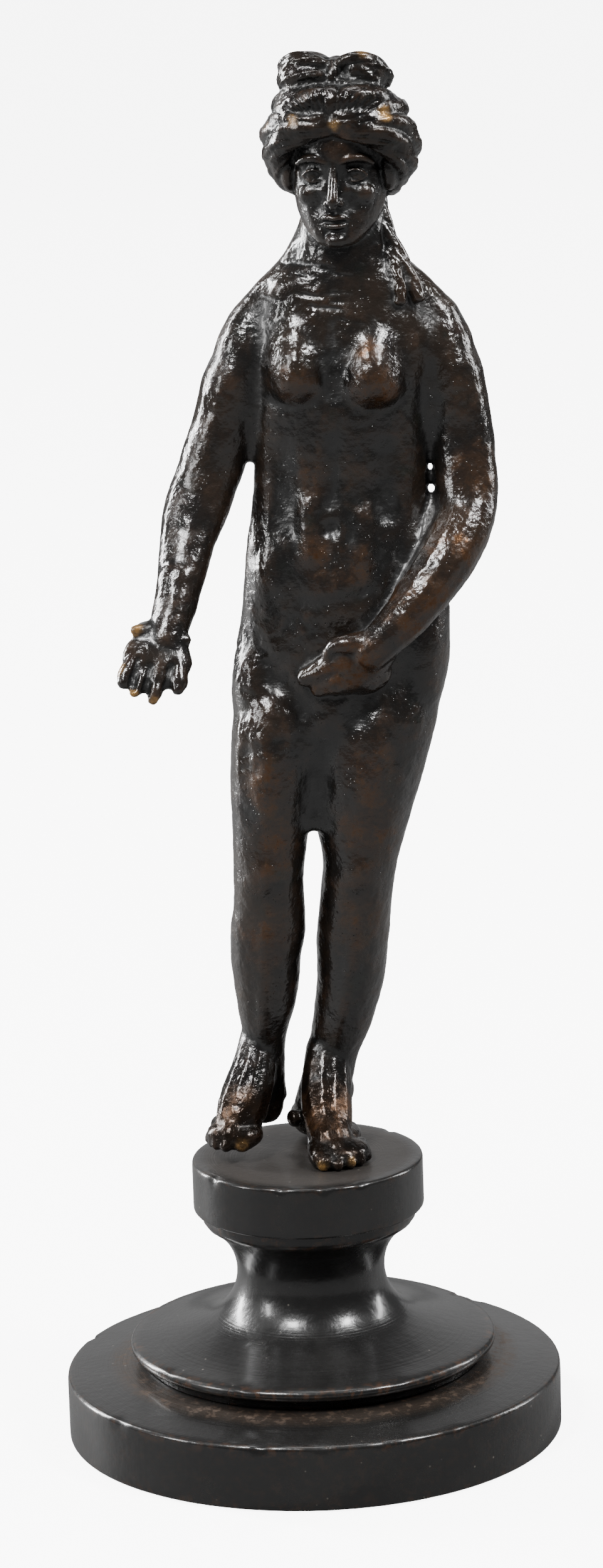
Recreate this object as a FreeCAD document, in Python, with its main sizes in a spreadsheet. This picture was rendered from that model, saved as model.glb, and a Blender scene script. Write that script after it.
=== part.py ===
"""Bronze statuette of a standing nude woman on a turned, blackened wood socle. Millimetres.

The figure faces -Y and the socle turns about Z, with Z = 0 where the baize pad meets the table.
The figure is one lost-wax casting. A threaded rod is screwed into the sole of its left foot, runs
down through the three turned pieces of the socle, and is drawn tight by a nut and washer sunk into
the underside. A plain pin beside the rod stops the figure from turning.
"""

import FreeCAD
import Part

import math
import os

import Sketcher
from FreeCAD import Vector

doc = FreeCAD.newDocument("Statuette")

# ---------------------------------------------------------------- driving dimensions

DIMENSIONS = {
    # turned plinth, the lowest wooden piece
    "plinth_radius": 36.0,
    "plinth_bottom": 0.2,
    "plinth_corner": 35.6,
    "plinth_side_low": 0.6,
    "plinth_foot_round": 0.4,
    "plinth_side_high": 9.0,
    "plinth_edge_radius": 35.2,
    "plinth_edge_height": 9.8,
    "plinth_edge_round": 0.8,
    "plinth_shoulder": 25.2,
    "plinth_top": 11.2,
    # baize pad glued into a shallow recess under the plinth
    "baize_radius": 34.0,
    "baize_thickness": 0.6,
    "recess_radius": 34.2,
    # waisted stem with its flared foot, and the tenon at each end
    "foot_contact": 24.6,
    "foot_cove_radius": 26.3,
    "foot_cove_height": 12.9,
    "foot_cove_round": 2.4,
    "foot_rim_radius": 25.9,
    "foot_rim_height": 14.6,
    "foot_rim_round": 0.95,
    "foot_slope_radius": 16.0,
    "foot_slope_height": 17.0,
    "foot_slope_round": 45.7,
    "waist_radius": 10.75,
    "waist_height": 24.5,
    "waist_low_round": 8.0,
    "waist_high_round": 7.9,
    "flare_radius": 15.05,
    "flare_height": 31.55,
    "flare_lip_radius": 15.5,
    "flare_lip_height": 32.2,
    "low_tenon_radius": 8.0,
    "low_tenon_bottom": 6.2,
    "low_socket_radius": 8.05,
    "low_socket_bottom": 6.1,
    "high_tenon_radius": 6.0,
    "high_tenon_top": 37.7,
    "high_socket_radius": 6.05,
    "high_socket_top": 37.8,
    # turned disc that the figure stands on
    "disc_radius": 16.75,
    "disc_bottom": 33.7,
    "disc_corner": 16.3,
    "disc_side_low": 34.15,
    "disc_foot_round": 0.45,
    "disc_side_high": 40.7,
    "disc_edge_radius": 16.15,
    "disc_edge_round": 0.6,
    "disc_top": 41.3,
    # rod, nut and washer, and the hole they sit in
    "rod_x": 1.6,
    "rod_y": 3.4,
    "rod_radius": 1.5,
    "rod_bottom": 0.9,
    "rod_top": 46.2,
    "rod_chamfer": 0.3,
    "tapped_radius": 1.52,
    "tapped_top": 46.6,
    "rod_hole_radius": 1.7,
    "sinking_radius": 4.8,
    "sinking_top": 4.0,
    "washer_radius": 4.0,
    "washer_hole_radius": 1.6,
    "washer_thickness": 0.5,
    "nut_flats": 5.5,
    "nut_height": 2.4,
    "nut_hole_radius": 1.52,
    # pin beside the rod
    "pin_x": 4.4,
    "pin_y": -3.6,
    "pin_radius": 0.8,
    "pin_bottom": 38.4,
    "pin_top": 43.6,
    "pin_hole_radius": 0.82,
    "pin_hole_bottom": 38.2,
    "pin_hole_top": 43.8,
}

# Cross-sections of the figure, each ring level: height, left, right, front, back.
LEVEL_LIMBS = {
    "torso": [
        (90.6, 0.8, 4.8, 0.2, 4.6),
        (93.0, -2.2, 8.4, -2.0, 7.0),
        (96.6, -5.4, 13.6, -4.0, 9.6),
        (100.0, -6.8, 17.0, -4.6, 11.0),
        (103.6, -7.8, 19.0, -5.0, 12.2),
        (107.2, -8.7, 21.2, -5.6, 13.0),
        (112.7, -8.4, 22.2, -5.8, 13.6),
        (116.2, -7.8, 22.6, -5.8, 13.4),
        (120.0, -7.1, 22.8, -5.8, 12.4),
        (124.0, -6.6, 22.3, -5.8, 11.0),
        (128.1, -6.2, 21.3, -5.4, 9.8),
        (132.6, -5.6, 20.5, -5.0, 9.0),
        (136.6, -4.9, 20.2, -4.8, 8.8),
        (140.6, -4.6, 20.2, -4.8, 9.2),
        (145.6, -4.6, 20.2, -5.2, 10.2),
        (150.6, -4.8, 20.6, -5.8, 11.0),
        (155.6, -5.4, 22.0, -5.8, 11.2),
        (159.6, -7.0, 24.3, -5.2, 10.8),
        (163.6, -6.0, 24.0, -4.2, 10.0),
        (166.6, -3.2, 21.7, -3.2, 9.2),
        (169.6, 0.0, 18.9, -2.6, 8.6),
        (172.6, 2.0, 16.9, -2.4, 8.2),
        (177.0, 3.0, 15.6, -2.6, 7.8),
    ],
    "head": [
        (173.4, 5.6, 11.6, -6.2, -0.6),
        (175.0, 3.8, 13.4, -7.0, 4.0),
        (178.0, 2.4, 15.2, -7.2, 9.0),
        (181.6, 1.6, 16.6, -7.2, 10.8),
        (186.0, 1.2, 17.2, -6.8, 11.6),
        (190.0, 2.2, 16.4, -5.0, 10.6),
        (193.4, 4.6, 14.0, -2.0, 7.6),
    ],
    "hair": [
        (181.2, 0.6, 17.4, -1.6, 10.6),
        (183.6, -1.8, 19.2, -4.2, 12.0),
        (186.6, -2.6, 20.0, -6.0, 12.8),
        (189.6, -2.0, 19.4, -7.4, 12.2),
        (192.0, -0.2, 17.6, -6.4, 10.6),
        (194.4, 2.8, 14.8, -2.6, 7.6),
    ],
    "right_leg": [
        (114.0, -6.6, 5.0, -3.6, 9.4),
        (108.6, -8.3, 4.8, -5.2, 10.4),
        (104.0, -8.8, 2.8, -6.0, 10.0),
        (96.6, -9.3, 2.6, -5.5, 9.0),
        (91.2, -9.2, 2.2, -5.0, 8.0),
        (85.7, -9.2, 1.2, -4.4, 7.4),
        (82.0, -9.3, 0.7, -4.0, 7.4),
        (78.0, -9.5, 0.8, -3.0, 8.5),
        (74.0, -10.1, 0.8, -2.0, 9.6),
        (70.0, -10.1, 0.0, -1.0, 10.6),
        (66.1, -9.8, -0.2, 0.0, 11.0),
        (62.1, -9.4, -0.9, 1.0, 11.0),
        (58.2, -8.9, -2.4, 2.6, 11.0),
        (54.1, -9.3, -2.6, 3.6, 11.4),
        (50.6, -9.7, -2.8, 4.0, 12.2),
        (47.4, -9.4, -2.6, 4.0, 12.8),
        (45.0, -8.4, -2.8, 5.4, 12.4),
    ],
    "left_leg": [
        (114.0, 3.0, 21.0, -3.6, 12.0),
        (108.6, 2.0, 21.1, -5.2, 12.6),
        (103.7, 2.2, 20.3, -5.5, 12.0),
        (96.4, 2.2, 18.1, -5.0, 10.5),
        (91.0, 2.6, 16.4, -4.4, 9.4),
        (85.5, 3.7, 14.6, -3.8, 8.6),
        (81.7, 3.3, 13.8, -3.4, 8.6),
        (77.8, 2.9, 13.3, -2.6, 9.4),
        (73.8, 2.4, 12.9, -1.6, 10.6),
        (69.8, 2.3, 12.5, -0.6, 11.6),
        (65.9, 2.2, 12.0, 0.4, 12.0),
        (61.9, 1.7, 10.9, 1.4, 12.0),
        (58.1, 1.1, 9.6, 2.6, 11.8),
        (54.1, 0.3, 7.9, 3.6, 11.8),
        (50.2, -0.9, 7.0, 4.0, 12.4),
        (46.3, -2.0, 6.3, 4.0, 13.0),
        (43.0, -2.4, 5.2, 4.4, 13.2),
        (40.6, -2.0, 4.6, 5.0, 12.8),
    ],
    "right_arm": [
        (162.6, -5.6, 0.4, 0.4, 8.0),
        (159.0, -9.2, -1.6, -1.2, 9.6),
        (155.4, -11.0, -2.6, -2.0, 10.0),
        (150.4, -12.2, -3.4, -2.0, 9.4),
        (145.5, -13.9, -4.6, -1.8, 8.2),
        (141.7, -15.4, -5.6, -1.6, 7.2),
        (138.3, -17.0, -6.9, -2.0, 6.4),
        (134.9, -17.8, -8.3, -3.4, 5.0),
        (131.7, -18.2, -9.9, -5.0, 3.0),
        (128.5, -18.5, -10.9, -6.6, 0.8),
        (125.3, -19.2, -12.0, -8.2, -1.8),
        (122.0, -20.2, -12.8, -9.8, -4.2),
    ],
    "left_arm": [
        (162.6, 16.8, 23.0, 0.4, 8.0),
        (159.0, 18.6, 26.6, -1.2, 9.4),
        (155.8, 19.7, 27.9, -2.0, 9.6),
        (150.5, 20.4, 28.9, -2.0, 8.8),
        (145.5, 20.7, 29.5, -2.0, 7.6),
        (141.6, 20.9, 29.7, -2.4, 6.8),
        (137.8, 20.9, 29.9, -3.4, 6.0),
        (134.6, 21.2, 29.3, -4.0, 4.8),
        (132.8, 22.4, 28.2, -3.0, 3.4),
    ],
}

# Rings square to a bent line: centre x, y, z, half width, half thickness.
BENT_LIMBS = {
    "left_forearm": [
        (26.4, 1.2, 136.6, 3.6, 3.4),
        (23.6, -2.4, 131.4, 4.7, 4.0),
        (20.4, -5.6, 127.0, 4.4, 3.4),
        (16.9, -7.6, 123.0, 3.9, 2.9),
        (13.0, -8.3, 119.4, 3.4, 2.4),
        (9.6, -8.1, 116.8, 3.6, 1.9),
        (6.4, -7.6, 114.8, 3.9, 1.6),
        (3.4, -7.0, 113.2, 3.4, 1.3),
        (0.8, -6.4, 112.0, 2.0, 1.0),
    ],
    "right_hand": [
        (-16.2, -6.2, 122.6, 3.7, 2.6),
        (-17.6, -8.8, 119.4, 4.2, 2.0),
        (-18.9, -11.0, 116.6, 4.8, 1.5),
        (-19.5, -12.8, 113.6, 4.7, 1.2),
        (-19.6, -14.0, 111.6, 4.2, 0.9),
    ],
    "left_foot": [
        (-1.1, 13.2, 43.4, 1.6, 1.8),
        (-0.6, 12.0, 43.5, 2.9, 2.8),
        (0.9, 7.6, 44.0, 3.4, 3.6),
        (2.4, 2.8, 43.8, 3.5, 3.4),
        (3.9, -1.6, 43.2, 3.9, 2.7),
        (5.2, -5.0, 42.8, 4.2, 2.1),
        (6.1, -7.4, 42.5, 3.9, 1.6),
        (6.6, -8.8, 42.4, 2.8, 1.2),
    ],
    "right_foot": [
        (-4.4, 11.4, 45.6, 1.8, 1.8),
        (-5.0, 9.8, 46.0, 3.0, 2.9),
        (-6.7, 6.0, 46.6, 3.4, 3.6),
        (-8.6, 2.2, 45.6, 3.7, 2.9),
        (-10.0, -0.6, 44.6, 4.1, 2.2),
        (-10.9, -2.8, 44.0, 3.9, 1.7),
        (-11.3, -4.0, 43.8, 2.9, 1.2),
    ],
}

# Round masses: centre x, y, z, radius.
ROUNDED = {
    "knot_right": (4.9, 2.0, 196.1, 4.1),
    "knot_left": (12.4, 2.0, 195.9, 4.1),
    "chignon": (9.4, 11.4, 184.0, 4.6),
    "breast_right": (1.6, -3.2, 151.4, 5.2),
    "breast_left": (14.0, -3.2, 151.2, 5.3),
    "buttock_right": (0.4, 7.4, 110.4, 7.4),
    "buttock_left": (12.8, 7.4, 110.6, 7.6),
}

# Fingers and toes: start x, y, z, end x, y, z, radius.
DIGITS = [
    (-22.4, -12.6, 113.6, -23.6, -14.8, 110.8, 1.0),
    (-20.6, -13.2, 112.6, -21.0, -15.4, 109.4, 1.0),
    (-18.6, -13.2, 112.2, -18.6, -15.6, 108.8, 1.0),
    (-16.6, -12.8, 112.6, -16.2, -15.0, 109.9, 1.0),
    (-19.6, -8.6, 120.4, -21.6, -10.6, 118.6, 1.2),
    (3.2, -7.6, 116.0, -0.6, -7.0, 114.4, 1.0),
    (3.2, -7.4, 111.4, 0.0, -6.8, 110.0, 1.0),
    (4.0, -7.2, 43.0, 4.6, -9.4, 42.6, 1.4),
    (6.6, -7.6, 42.8, 7.0, -9.0, 42.4, 1.1),
    (8.6, -6.6, 42.6, 9.2, -7.6, 42.3, 1.0),
    (-9.4, -3.2, 44.2, -10.0, -5.0, 43.9, 1.3),
    (-11.9, -3.4, 44.2, -12.6, -4.6, 43.8, 1.1),
    (-13.6, -1.8, 44.4, -14.4, -2.8, 44.0, 1.0),
]


def fill_sheet(name, values):
    """A spreadsheet with one aliased cell for each value."""
    sheet = doc.addObject("Spreadsheet::Sheet", name)
    for row, (alias, value) in enumerate(values.items(), start=1):
        sheet.set("A%d" % row, alias)
        sheet.set("B%d" % row, str(value))
        sheet.setAlias("B%d" % row, alias)
    return sheet


def section_cells():
    """Every figure dimension under its own alias, such as torso_3_left."""
    cells = {}
    for limb, rings in LEVEL_LIMBS.items():
        for number, ring in enumerate(rings):
            for word, value in zip(("height", "left", "right", "front", "back"), ring):
                cells["%s_%d_%s" % (limb, number, word)] = value
    for limb, rings in BENT_LIMBS.items():
        for number, ring in enumerate(rings):
            for word, value in zip(("across", "depth", "height", "half_width", "half_thick"), ring):
                cells["%s_%d_%s" % (limb, number, word)] = value
    for mass, sizes in ROUNDED.items():
        for word, value in zip(("across", "depth", "height", "radius"), sizes):
            cells["%s_%s" % (mass, word)] = value
    for number, sizes in enumerate(DIGITS):
        for word, value in zip(("from_x", "from_y", "from_z", "to_x", "to_y", "to_z", "radius"), sizes):
            cells["digit_%d_%s" % (number, word)] = value
    return cells


dims = fill_sheet("Dimensions", DIMENSIONS)
figure_dims = fill_sheet("FigureSections", section_cells())
doc.recompute()


def dim(alias):
    return getattr(dims, alias)


def read(alias_stem, words):
    """Numbers from the figure's sheet that share the start of their alias."""
    return [getattr(figure_dims, "%s_%s" % (alias_stem, word)) for word in words]


# ---------------------------------------------------------------- sketches


def plane(body, role):
    return next(o for o in body.Origin.OriginFeatures if o.Role == role)


def arc_through(start, end, radius, bulge):
    """Arc from start to end. bulge is +1 if it swings to the right of the way from start to end."""
    chord = end - start
    half = chord.Length / 2
    side = Vector(chord.y, -chord.x, 0).normalize() * bulge
    sagitta = radius - math.sqrt(radius**2 - half**2)
    return Part.Arc(start, (start + end) / 2 + side * sagitta, end)


def profile(body, name, corners):
    """Closed outline on the XZ plane. Each corner is (radius cell, height cell), or those two and
    (arc radius cell, bulge) for an arc that reaches the next corner. The cell "axis" means zero."""
    sketch = body.newObject("Sketcher::SketchObject", name)
    sketch.AttachmentSupport = [(plane(body, "XZ_Plane"), "")]
    sketch.MapMode = "FlatFace"
    points = [Vector(0 if c[0] == "axis" else dim(c[0]), dim(c[1]), 0) for c in corners]
    for number, corner in enumerate(corners):
        start, end = points[number], points[(number + 1) % len(points)]
        if len(corner) == 3:
            cell, bulge = corner[2]
            sketch.addGeometry(arc_through(start, end, dim(cell), bulge), False)
        else:
            sketch.addGeometry(Part.LineSegment(start, end), False)
    starts = []
    for number, corner in enumerate(corners):
        near = sketch.getPoint(number, 1).distanceToPoint(points[number])
        starts.append(1 if near < 1e-6 else 2)
    for number, corner in enumerate(corners):
        after = (number + 1) % len(corners)
        end = 3 - starts[number]
        sketch.addConstraint(Sketcher.Constraint("Coincident", number, end, after, starts[after]))
    for number, corner in enumerate(corners):
        where = points[number]
        if corner[0] == "axis":
            sketch.addConstraint(Sketcher.Constraint("PointOnObject", number, starts[number], -2))
        else:
            index = sketch.addConstraint(
                Sketcher.Constraint("DistanceX", -1, 1, number, starts[number], where.x)
            )
            sketch.setExpression("Constraints[%d]" % index, "Dimensions.%s" % corner[0])
        index = sketch.addConstraint(
            Sketcher.Constraint("DistanceY", -1, 1, number, starts[number], where.y)
        )
        sketch.setExpression("Constraints[%d]" % index, "Dimensions.%s" % corner[1])
        if len(corner) == 3:
            cell = corner[2][0]
            index = sketch.addConstraint(Sketcher.Constraint("Radius", number, dim(cell)))
            sketch.setExpression("Constraints[%d]" % index, "Dimensions.%s" % cell)
    return sketch


def turned_piece(label, corners):
    """A body turned about Z from its outline."""
    body = doc.addObject("PartDesign::Body", label)
    body.Label = label
    outline = profile(body, label + "_outline", corners)
    turning = body.newObject("PartDesign::Revolution", label + "_turning")
    turning.Profile = outline
    turning.ReferenceAxis = (outline, ["V_Axis"])
    turning.Angle = 360
    outline.Visibility = False
    doc.recompute()
    return body


def bore(body, name, radius, x_cell, y_cell, bottom, top):
    """A round hole along Z between two heights. Every size is a cell of the sheet."""
    sketch = body.newObject("Sketcher::SketchObject", name + "_circle")
    sketch.AttachmentSupport = [(plane(body, "XY_Plane"), "")]
    sketch.MapMode = "FlatFace"
    sketch.setExpression("AttachmentOffset.Base.z", "Dimensions.%s" % bottom)
    centre = Vector(dim(x_cell), dim(y_cell), 0)
    sketch.addGeometry(Part.Circle(centre, Vector(0, 0, 1), dim(radius)), False)
    for kind, cell, value in (("DistanceX", x_cell, centre.x), ("DistanceY", y_cell, centre.y)):
        index = sketch.addConstraint(Sketcher.Constraint(kind, -1, 1, 0, 3, value))
        sketch.setExpression("Constraints[%d]" % index, "Dimensions.%s" % cell)
    index = sketch.addConstraint(Sketcher.Constraint("Radius", 0, dim(radius)))
    sketch.setExpression("Constraints[%d]" % index, "Dimensions.%s" % radius)
    doc.recompute()
    before = body.Shape.Volume
    pocket = body.newObject("PartDesign::Pocket", name)
    pocket.Profile = sketch
    pocket.Reversed = True
    pocket.setExpression("Length", "Dimensions.%s - Dimensions.%s" % (top, bottom))
    sketch.Visibility = False
    doc.recompute()
    if body.Shape.Volume >= before - 0.1:
        raise RuntimeError("%s removed nothing from %s" % (name, body.Label))


# ---------------------------------------------------------------- socle


def make_plinth():
    body = turned_piece(
        "socle_plinth",
        [
            ("axis", "baize_thickness"),
            ("recess_radius", "baize_thickness"),
            ("recess_radius", "plinth_bottom"),
            ("plinth_corner", "plinth_bottom", ("plinth_foot_round", 1)),
            ("plinth_radius", "plinth_side_low"),
            ("plinth_radius", "plinth_side_high", ("plinth_edge_round", 1)),
            ("plinth_edge_radius", "plinth_edge_height"),
            ("plinth_shoulder", "plinth_top"),
            ("low_socket_radius", "plinth_top"),
            ("low_socket_radius", "low_socket_bottom"),
            ("axis", "low_socket_bottom"),
        ],
    )
    bore(body, "nut_sinking", "sinking_radius", "rod_x", "rod_y", "plinth_bottom", "sinking_top")
    bore(body, "plinth_rod_hole", "rod_hole_radius", "rod_x", "rod_y", "plinth_bottom", "plinth_top")
    return body


def make_stem():
    body = turned_piece(
        "socle_stem",
        [
            ("axis", "low_tenon_bottom"),
            ("low_tenon_radius", "low_tenon_bottom"),
            ("low_tenon_radius", "plinth_top"),
            ("foot_contact", "plinth_top", ("foot_cove_round", -1)),
            ("foot_cove_radius", "foot_cove_height", ("foot_rim_round", 1)),
            ("foot_rim_radius", "foot_rim_height", ("foot_slope_round", -1)),
            ("foot_slope_radius", "foot_slope_height", ("waist_low_round", -1)),
            ("waist_radius", "waist_height", ("waist_high_round", -1)),
            ("flare_radius", "flare_height"),
            ("flare_lip_radius", "flare_lip_height"),
            ("flare_lip_radius", "disc_bottom"),
            ("high_tenon_radius", "disc_bottom"),
            ("high_tenon_radius", "high_tenon_top"),
            ("axis", "high_tenon_top"),
        ],
    )
    bore(body, "stem_rod_hole", "rod_hole_radius", "rod_x", "rod_y", "low_tenon_bottom", "high_tenon_top")
    return body


def make_disc():
    body = turned_piece(
        "socle_top_disc",
        [
            ("axis", "high_socket_top"),
            ("high_socket_radius", "high_socket_top"),
            ("high_socket_radius", "disc_bottom"),
            ("disc_corner", "disc_bottom", ("disc_foot_round", 1)),
            ("disc_radius", "disc_side_low"),
            ("disc_radius", "disc_side_high", ("disc_edge_round", 1)),
            ("disc_edge_radius", "disc_top"),
            ("axis", "disc_top"),
        ],
    )
    bore(body, "disc_rod_hole", "rod_hole_radius", "rod_x", "rod_y", "disc_bottom", "disc_top")
    bore(body, "disc_pin_hole", "pin_hole_radius", "pin_x", "pin_y", "pin_hole_bottom", "disc_top")
    return body


def make_baize():
    pad = doc.addObject("Part::Cylinder", "baize_pad")
    pad.setExpression("Radius", "Dimensions.baize_radius")
    pad.setExpression("Height", "Dimensions.baize_thickness")
    return pad


# ---------------------------------------------------------------- fixings


def upright(kind, name, sizes, x_cell, y_cell, z_expression):
    """A Part primitive standing on Z, with its sizes and place bound to the sheet."""
    solid = doc.addObject(kind, name)
    for key, expression in sizes.items():
        solid.setExpression(key, expression)
    solid.setExpression("Placement.Base.x", "Dimensions.%s" % x_cell)
    solid.setExpression("Placement.Base.y", "Dimensions.%s" % y_cell)
    solid.setExpression("Placement.Base.z", z_expression)
    return solid


def make_rod():
    shank = upright(
        "Part::Cylinder",
        "rod_shank",
        {"Radius": "Dimensions.rod_radius", "Height": "Dimensions.rod_top - Dimensions.rod_bottom"},
        "rod_x",
        "rod_y",
        "Dimensions.rod_bottom",
    )
    doc.recompute()
    rod = doc.addObject("Part::Chamfer", "threaded_rod")
    rod.Base = shank
    chamfer = dim("rod_chamfer")
    ends = [n for n, e in enumerate(shank.Shape.Edges, start=1) if e.Curve.TypeId == "Part::GeomCircle"]
    rod.Edges = [(number, chamfer, chamfer) for number in ends]
    return rod


def ringed(name, outer, hole_cell, z_expression, height_expression):
    """outer with a hole down the rod's line."""
    hole = upright(
        "Part::Cylinder",
        name + "_hole",
        {"Radius": "Dimensions.%s" % hole_cell, "Height": height_expression},
        "rod_x",
        "rod_y",
        z_expression,
    )
    ring = doc.addObject("Part::Cut", name)
    ring.Base = outer
    ring.Tool = hole
    return ring


def make_washer():
    low = "Dimensions.sinking_top - Dimensions.washer_thickness"
    plate = upright(
        "Part::Cylinder",
        "washer_plate",
        {"Radius": "Dimensions.washer_radius", "Height": "Dimensions.washer_thickness"},
        "rod_x",
        "rod_y",
        low,
    )
    return ringed("rod_washer", plate, "washer_hole_radius", low, "Dimensions.washer_thickness")


def make_nut():
    low = "Dimensions.sinking_top - Dimensions.washer_thickness - Dimensions.nut_height"
    block = upright(
        "Part::Prism",
        "nut_block",
        {"Circumradius": "Dimensions.nut_flats / sqrt(3)", "Height": "Dimensions.nut_height"},
        "rod_x",
        "rod_y",
        low,
    )
    block.Polygon = 6
    return ringed("rod_nut", block, "nut_hole_radius", low, "Dimensions.nut_height")


def make_pin():
    return upright(
        "Part::Cylinder",
        "locating_pin",
        {"Radius": "Dimensions.pin_radius", "Height": "Dimensions.pin_top - Dimensions.pin_bottom"},
        "pin_x",
        "pin_y",
        "Dimensions.pin_bottom",
    )


# ---------------------------------------------------------------- figure

RING_POINTS = 12


def ring(centre, wide, deep):
    """Closed smooth oval round centre, with half axes wide and deep."""
    points = []
    for step in range(RING_POINTS):
        turn = 2 * math.pi * step / RING_POINTS
        points.append(centre + wide * math.cos(turn) + deep * math.sin(turn))
    curve = Part.BSplineCurve()
    curve.interpolate(Points=points, PeriodicFlag=True)
    return Part.Wire([curve.toShape()])


def level_limb(limb):
    """Loft through level rings, as a trunk, leg or upper arm."""
    wires = []
    for number in range(len(LEVEL_LIMBS[limb])):
        height, left, right, front, back = read(
            "%s_%d" % (limb, number), ("height", "left", "right", "front", "back")
        )
        centre = Vector((left + right) / 2, (front + back) / 2, height)
        wires.append(ring(centre, Vector((right - left) / 2, 0, 0), Vector(0, (back - front) / 2, 0)))
    return Part.makeLoft(wires, True, False)


def bent_limb(limb, thin):
    """Loft through rings square to the limb's own line. thin is the way its thickness lies."""
    rows = [
        read("%s_%d" % (limb, number), ("across", "depth", "height", "half_width", "half_thick"))
        for number in range(len(BENT_LIMBS[limb]))
    ]
    centres = [Vector(*row[:3]) for row in rows]
    wires = []
    for number, row in enumerate(rows):
        along = centres[min(number + 1, len(rows) - 1)] - centres[max(number - 1, 0)]
        wide = along.cross(thin).normalize()
        deep = wide.cross(along).normalize()
        wires.append(ring(centres[number], wide * row[3], deep * row[4]))
    return Part.makeLoft(wires, True, False)


def rounded_mass(mass):
    """Ball that swells out of a limb or the head."""
    across, depth, height, radius = read(mass, ("across", "depth", "height", "radius"))
    return Part.makeSphere(radius, Vector(across, depth, height))


def digit(number):
    """Finger or toe, round at both ends."""
    words = ("from_x", "from_y", "from_z", "to_x", "to_y", "to_z", "radius")
    values = read("digit_%d" % number, words)
    start, end, radius = Vector(*values[:3]), Vector(*values[3:6]), values[6]
    shaft = Part.makeCylinder(radius, (end - start).Length, start, end - start)
    return shaft.fuse([Part.makeSphere(radius, start), Part.makeSphere(radius, end)])


def make_figure():
    facing = Vector(0, 1, 0)
    up = Vector(0, 0, 1)
    pieces = [level_limb(limb) for limb in LEVEL_LIMBS]
    pieces += [bent_limb("left_forearm", facing), bent_limb("right_hand", facing)]
    pieces += [bent_limb("left_foot", up), bent_limb("right_foot", up)]
    pieces += [rounded_mass(mass) for mass in ROUNDED]
    pieces += [digit(number) for number in range(len(DIGITS))]
    casting = pieces[0].fuse(pieces[1:])
    size = 2 * dim("disc_radius")
    below = Part.makeBox(size, size, size, Vector(-size / 2, -size / 2, dim("disc_top") - size))
    tapped = Part.makeCylinder(
        dim("tapped_radius"),
        dim("tapped_top") - dim("disc_top"),
        Vector(dim("rod_x"), dim("rod_y"), dim("disc_top")),
    )
    pin_hole = Part.makeCylinder(
        dim("pin_hole_radius"),
        dim("pin_hole_top") - dim("disc_top"),
        Vector(dim("pin_x"), dim("pin_y"), dim("disc_top")),
    )
    casting = casting.cut([below, tapped, pin_hole])
    figure = doc.addObject("Part::Feature", "bronze_figure")
    figure.Shape = casting.Solids[0] if len(casting.Solids) == 1 else casting
    return figure


# ---------------------------------------------------------------- build and write

nodes = {
    "socle_plinth": make_plinth(),
    "socle_stem": make_stem(),
    "socle_top_disc": make_disc(),
    "baize_pad": make_baize(),
    "threaded_rod": make_rod(),
    "rod_washer": make_washer(),
    "rod_nut": make_nut(),
    "locating_pin": make_pin(),
    "bronze_figure": make_figure(),
}
doc.recompute()

for item in doc.Objects:
    if "Invalid" in item.State or "Error" in item.State:
        raise RuntimeError("%s failed to build: %s" % (item.Label, item.State))

os.makedirs("parts", exist_ok=True)
for node, item in nodes.items():
    item.Label = node
    shape = item.Shape
    if shape.isNull() or not shape.isValid() or not shape.Solids:
        raise RuntimeError("%s has no valid solid" % node)
    shape.exportStep("parts/%s.step" % node)
    box = shape.BoundBox
    print(
        "%s: %d solid(s), %.0f mm3, x %.1f..%.1f y %.1f..%.1f z %.1f..%.1f"
        % (node, len(shape.Solids), shape.Volume, box.XMin, box.XMax, box.YMin, box.YMax, box.ZMin, box.ZMax)
    )
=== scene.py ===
import math

import bpy
import numpy as np
from mathutils import Euler, Matrix, Vector


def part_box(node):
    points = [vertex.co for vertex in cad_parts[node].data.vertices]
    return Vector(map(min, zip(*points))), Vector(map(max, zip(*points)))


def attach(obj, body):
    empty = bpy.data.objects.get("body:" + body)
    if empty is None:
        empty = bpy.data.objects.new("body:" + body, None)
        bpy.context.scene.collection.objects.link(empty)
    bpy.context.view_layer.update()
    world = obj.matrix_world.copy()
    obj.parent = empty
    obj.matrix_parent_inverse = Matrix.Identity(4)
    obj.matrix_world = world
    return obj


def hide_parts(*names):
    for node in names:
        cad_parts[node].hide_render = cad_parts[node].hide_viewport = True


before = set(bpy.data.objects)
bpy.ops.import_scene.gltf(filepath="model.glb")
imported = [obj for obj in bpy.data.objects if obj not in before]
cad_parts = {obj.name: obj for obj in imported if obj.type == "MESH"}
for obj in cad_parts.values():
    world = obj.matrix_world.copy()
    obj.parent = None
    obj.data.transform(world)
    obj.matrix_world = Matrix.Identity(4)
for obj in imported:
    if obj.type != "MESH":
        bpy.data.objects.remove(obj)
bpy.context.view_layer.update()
toMm = 1000.0
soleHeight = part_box("socle_top_disc")[1].z * toMm
print("frame loaded, the disc's top is at", round(soleHeight, 1), "mm")


def deselectAll():
    if bpy.context.object and bpy.context.object.mode != "OBJECT":
        bpy.ops.object.mode_set(mode="OBJECT")
    bpy.ops.object.select_all(action="DESELECT")


def chooseOnly(piece):
    deselectAll()
    piece.select_set(True)
    bpy.context.view_layer.objects.active = piece


stageSizes = {
    "cameraPlace": (0.00086, -0.7263, 0.2657),
    "cameraPitch": 13.13,   # degrees below level
    "cameraRoll": 1.82,     # the tripod wasn't quite upright
    "lens": 120.38,         # millimetres
    "sensor": 36.0,         # along the long side of the image
    "floorSize": 30.0,
    "floorColour": (0.93, 0.93, 0.925, 1.0),
    "floorReflected": (0.13, 0.13, 0.13, 1.0),   # a black card on the paper, seen only in reflections
    "skyColour": (0.97, 0.98, 1.0, 1.0),
    "skyLight": 0.13,        # what falls on the object
    "skySeen": 9.0,          # what the camera sees behind it
    "floorGlow": 7.0,
    "middle": (0.0, 0.0, 0.11),
}

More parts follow.
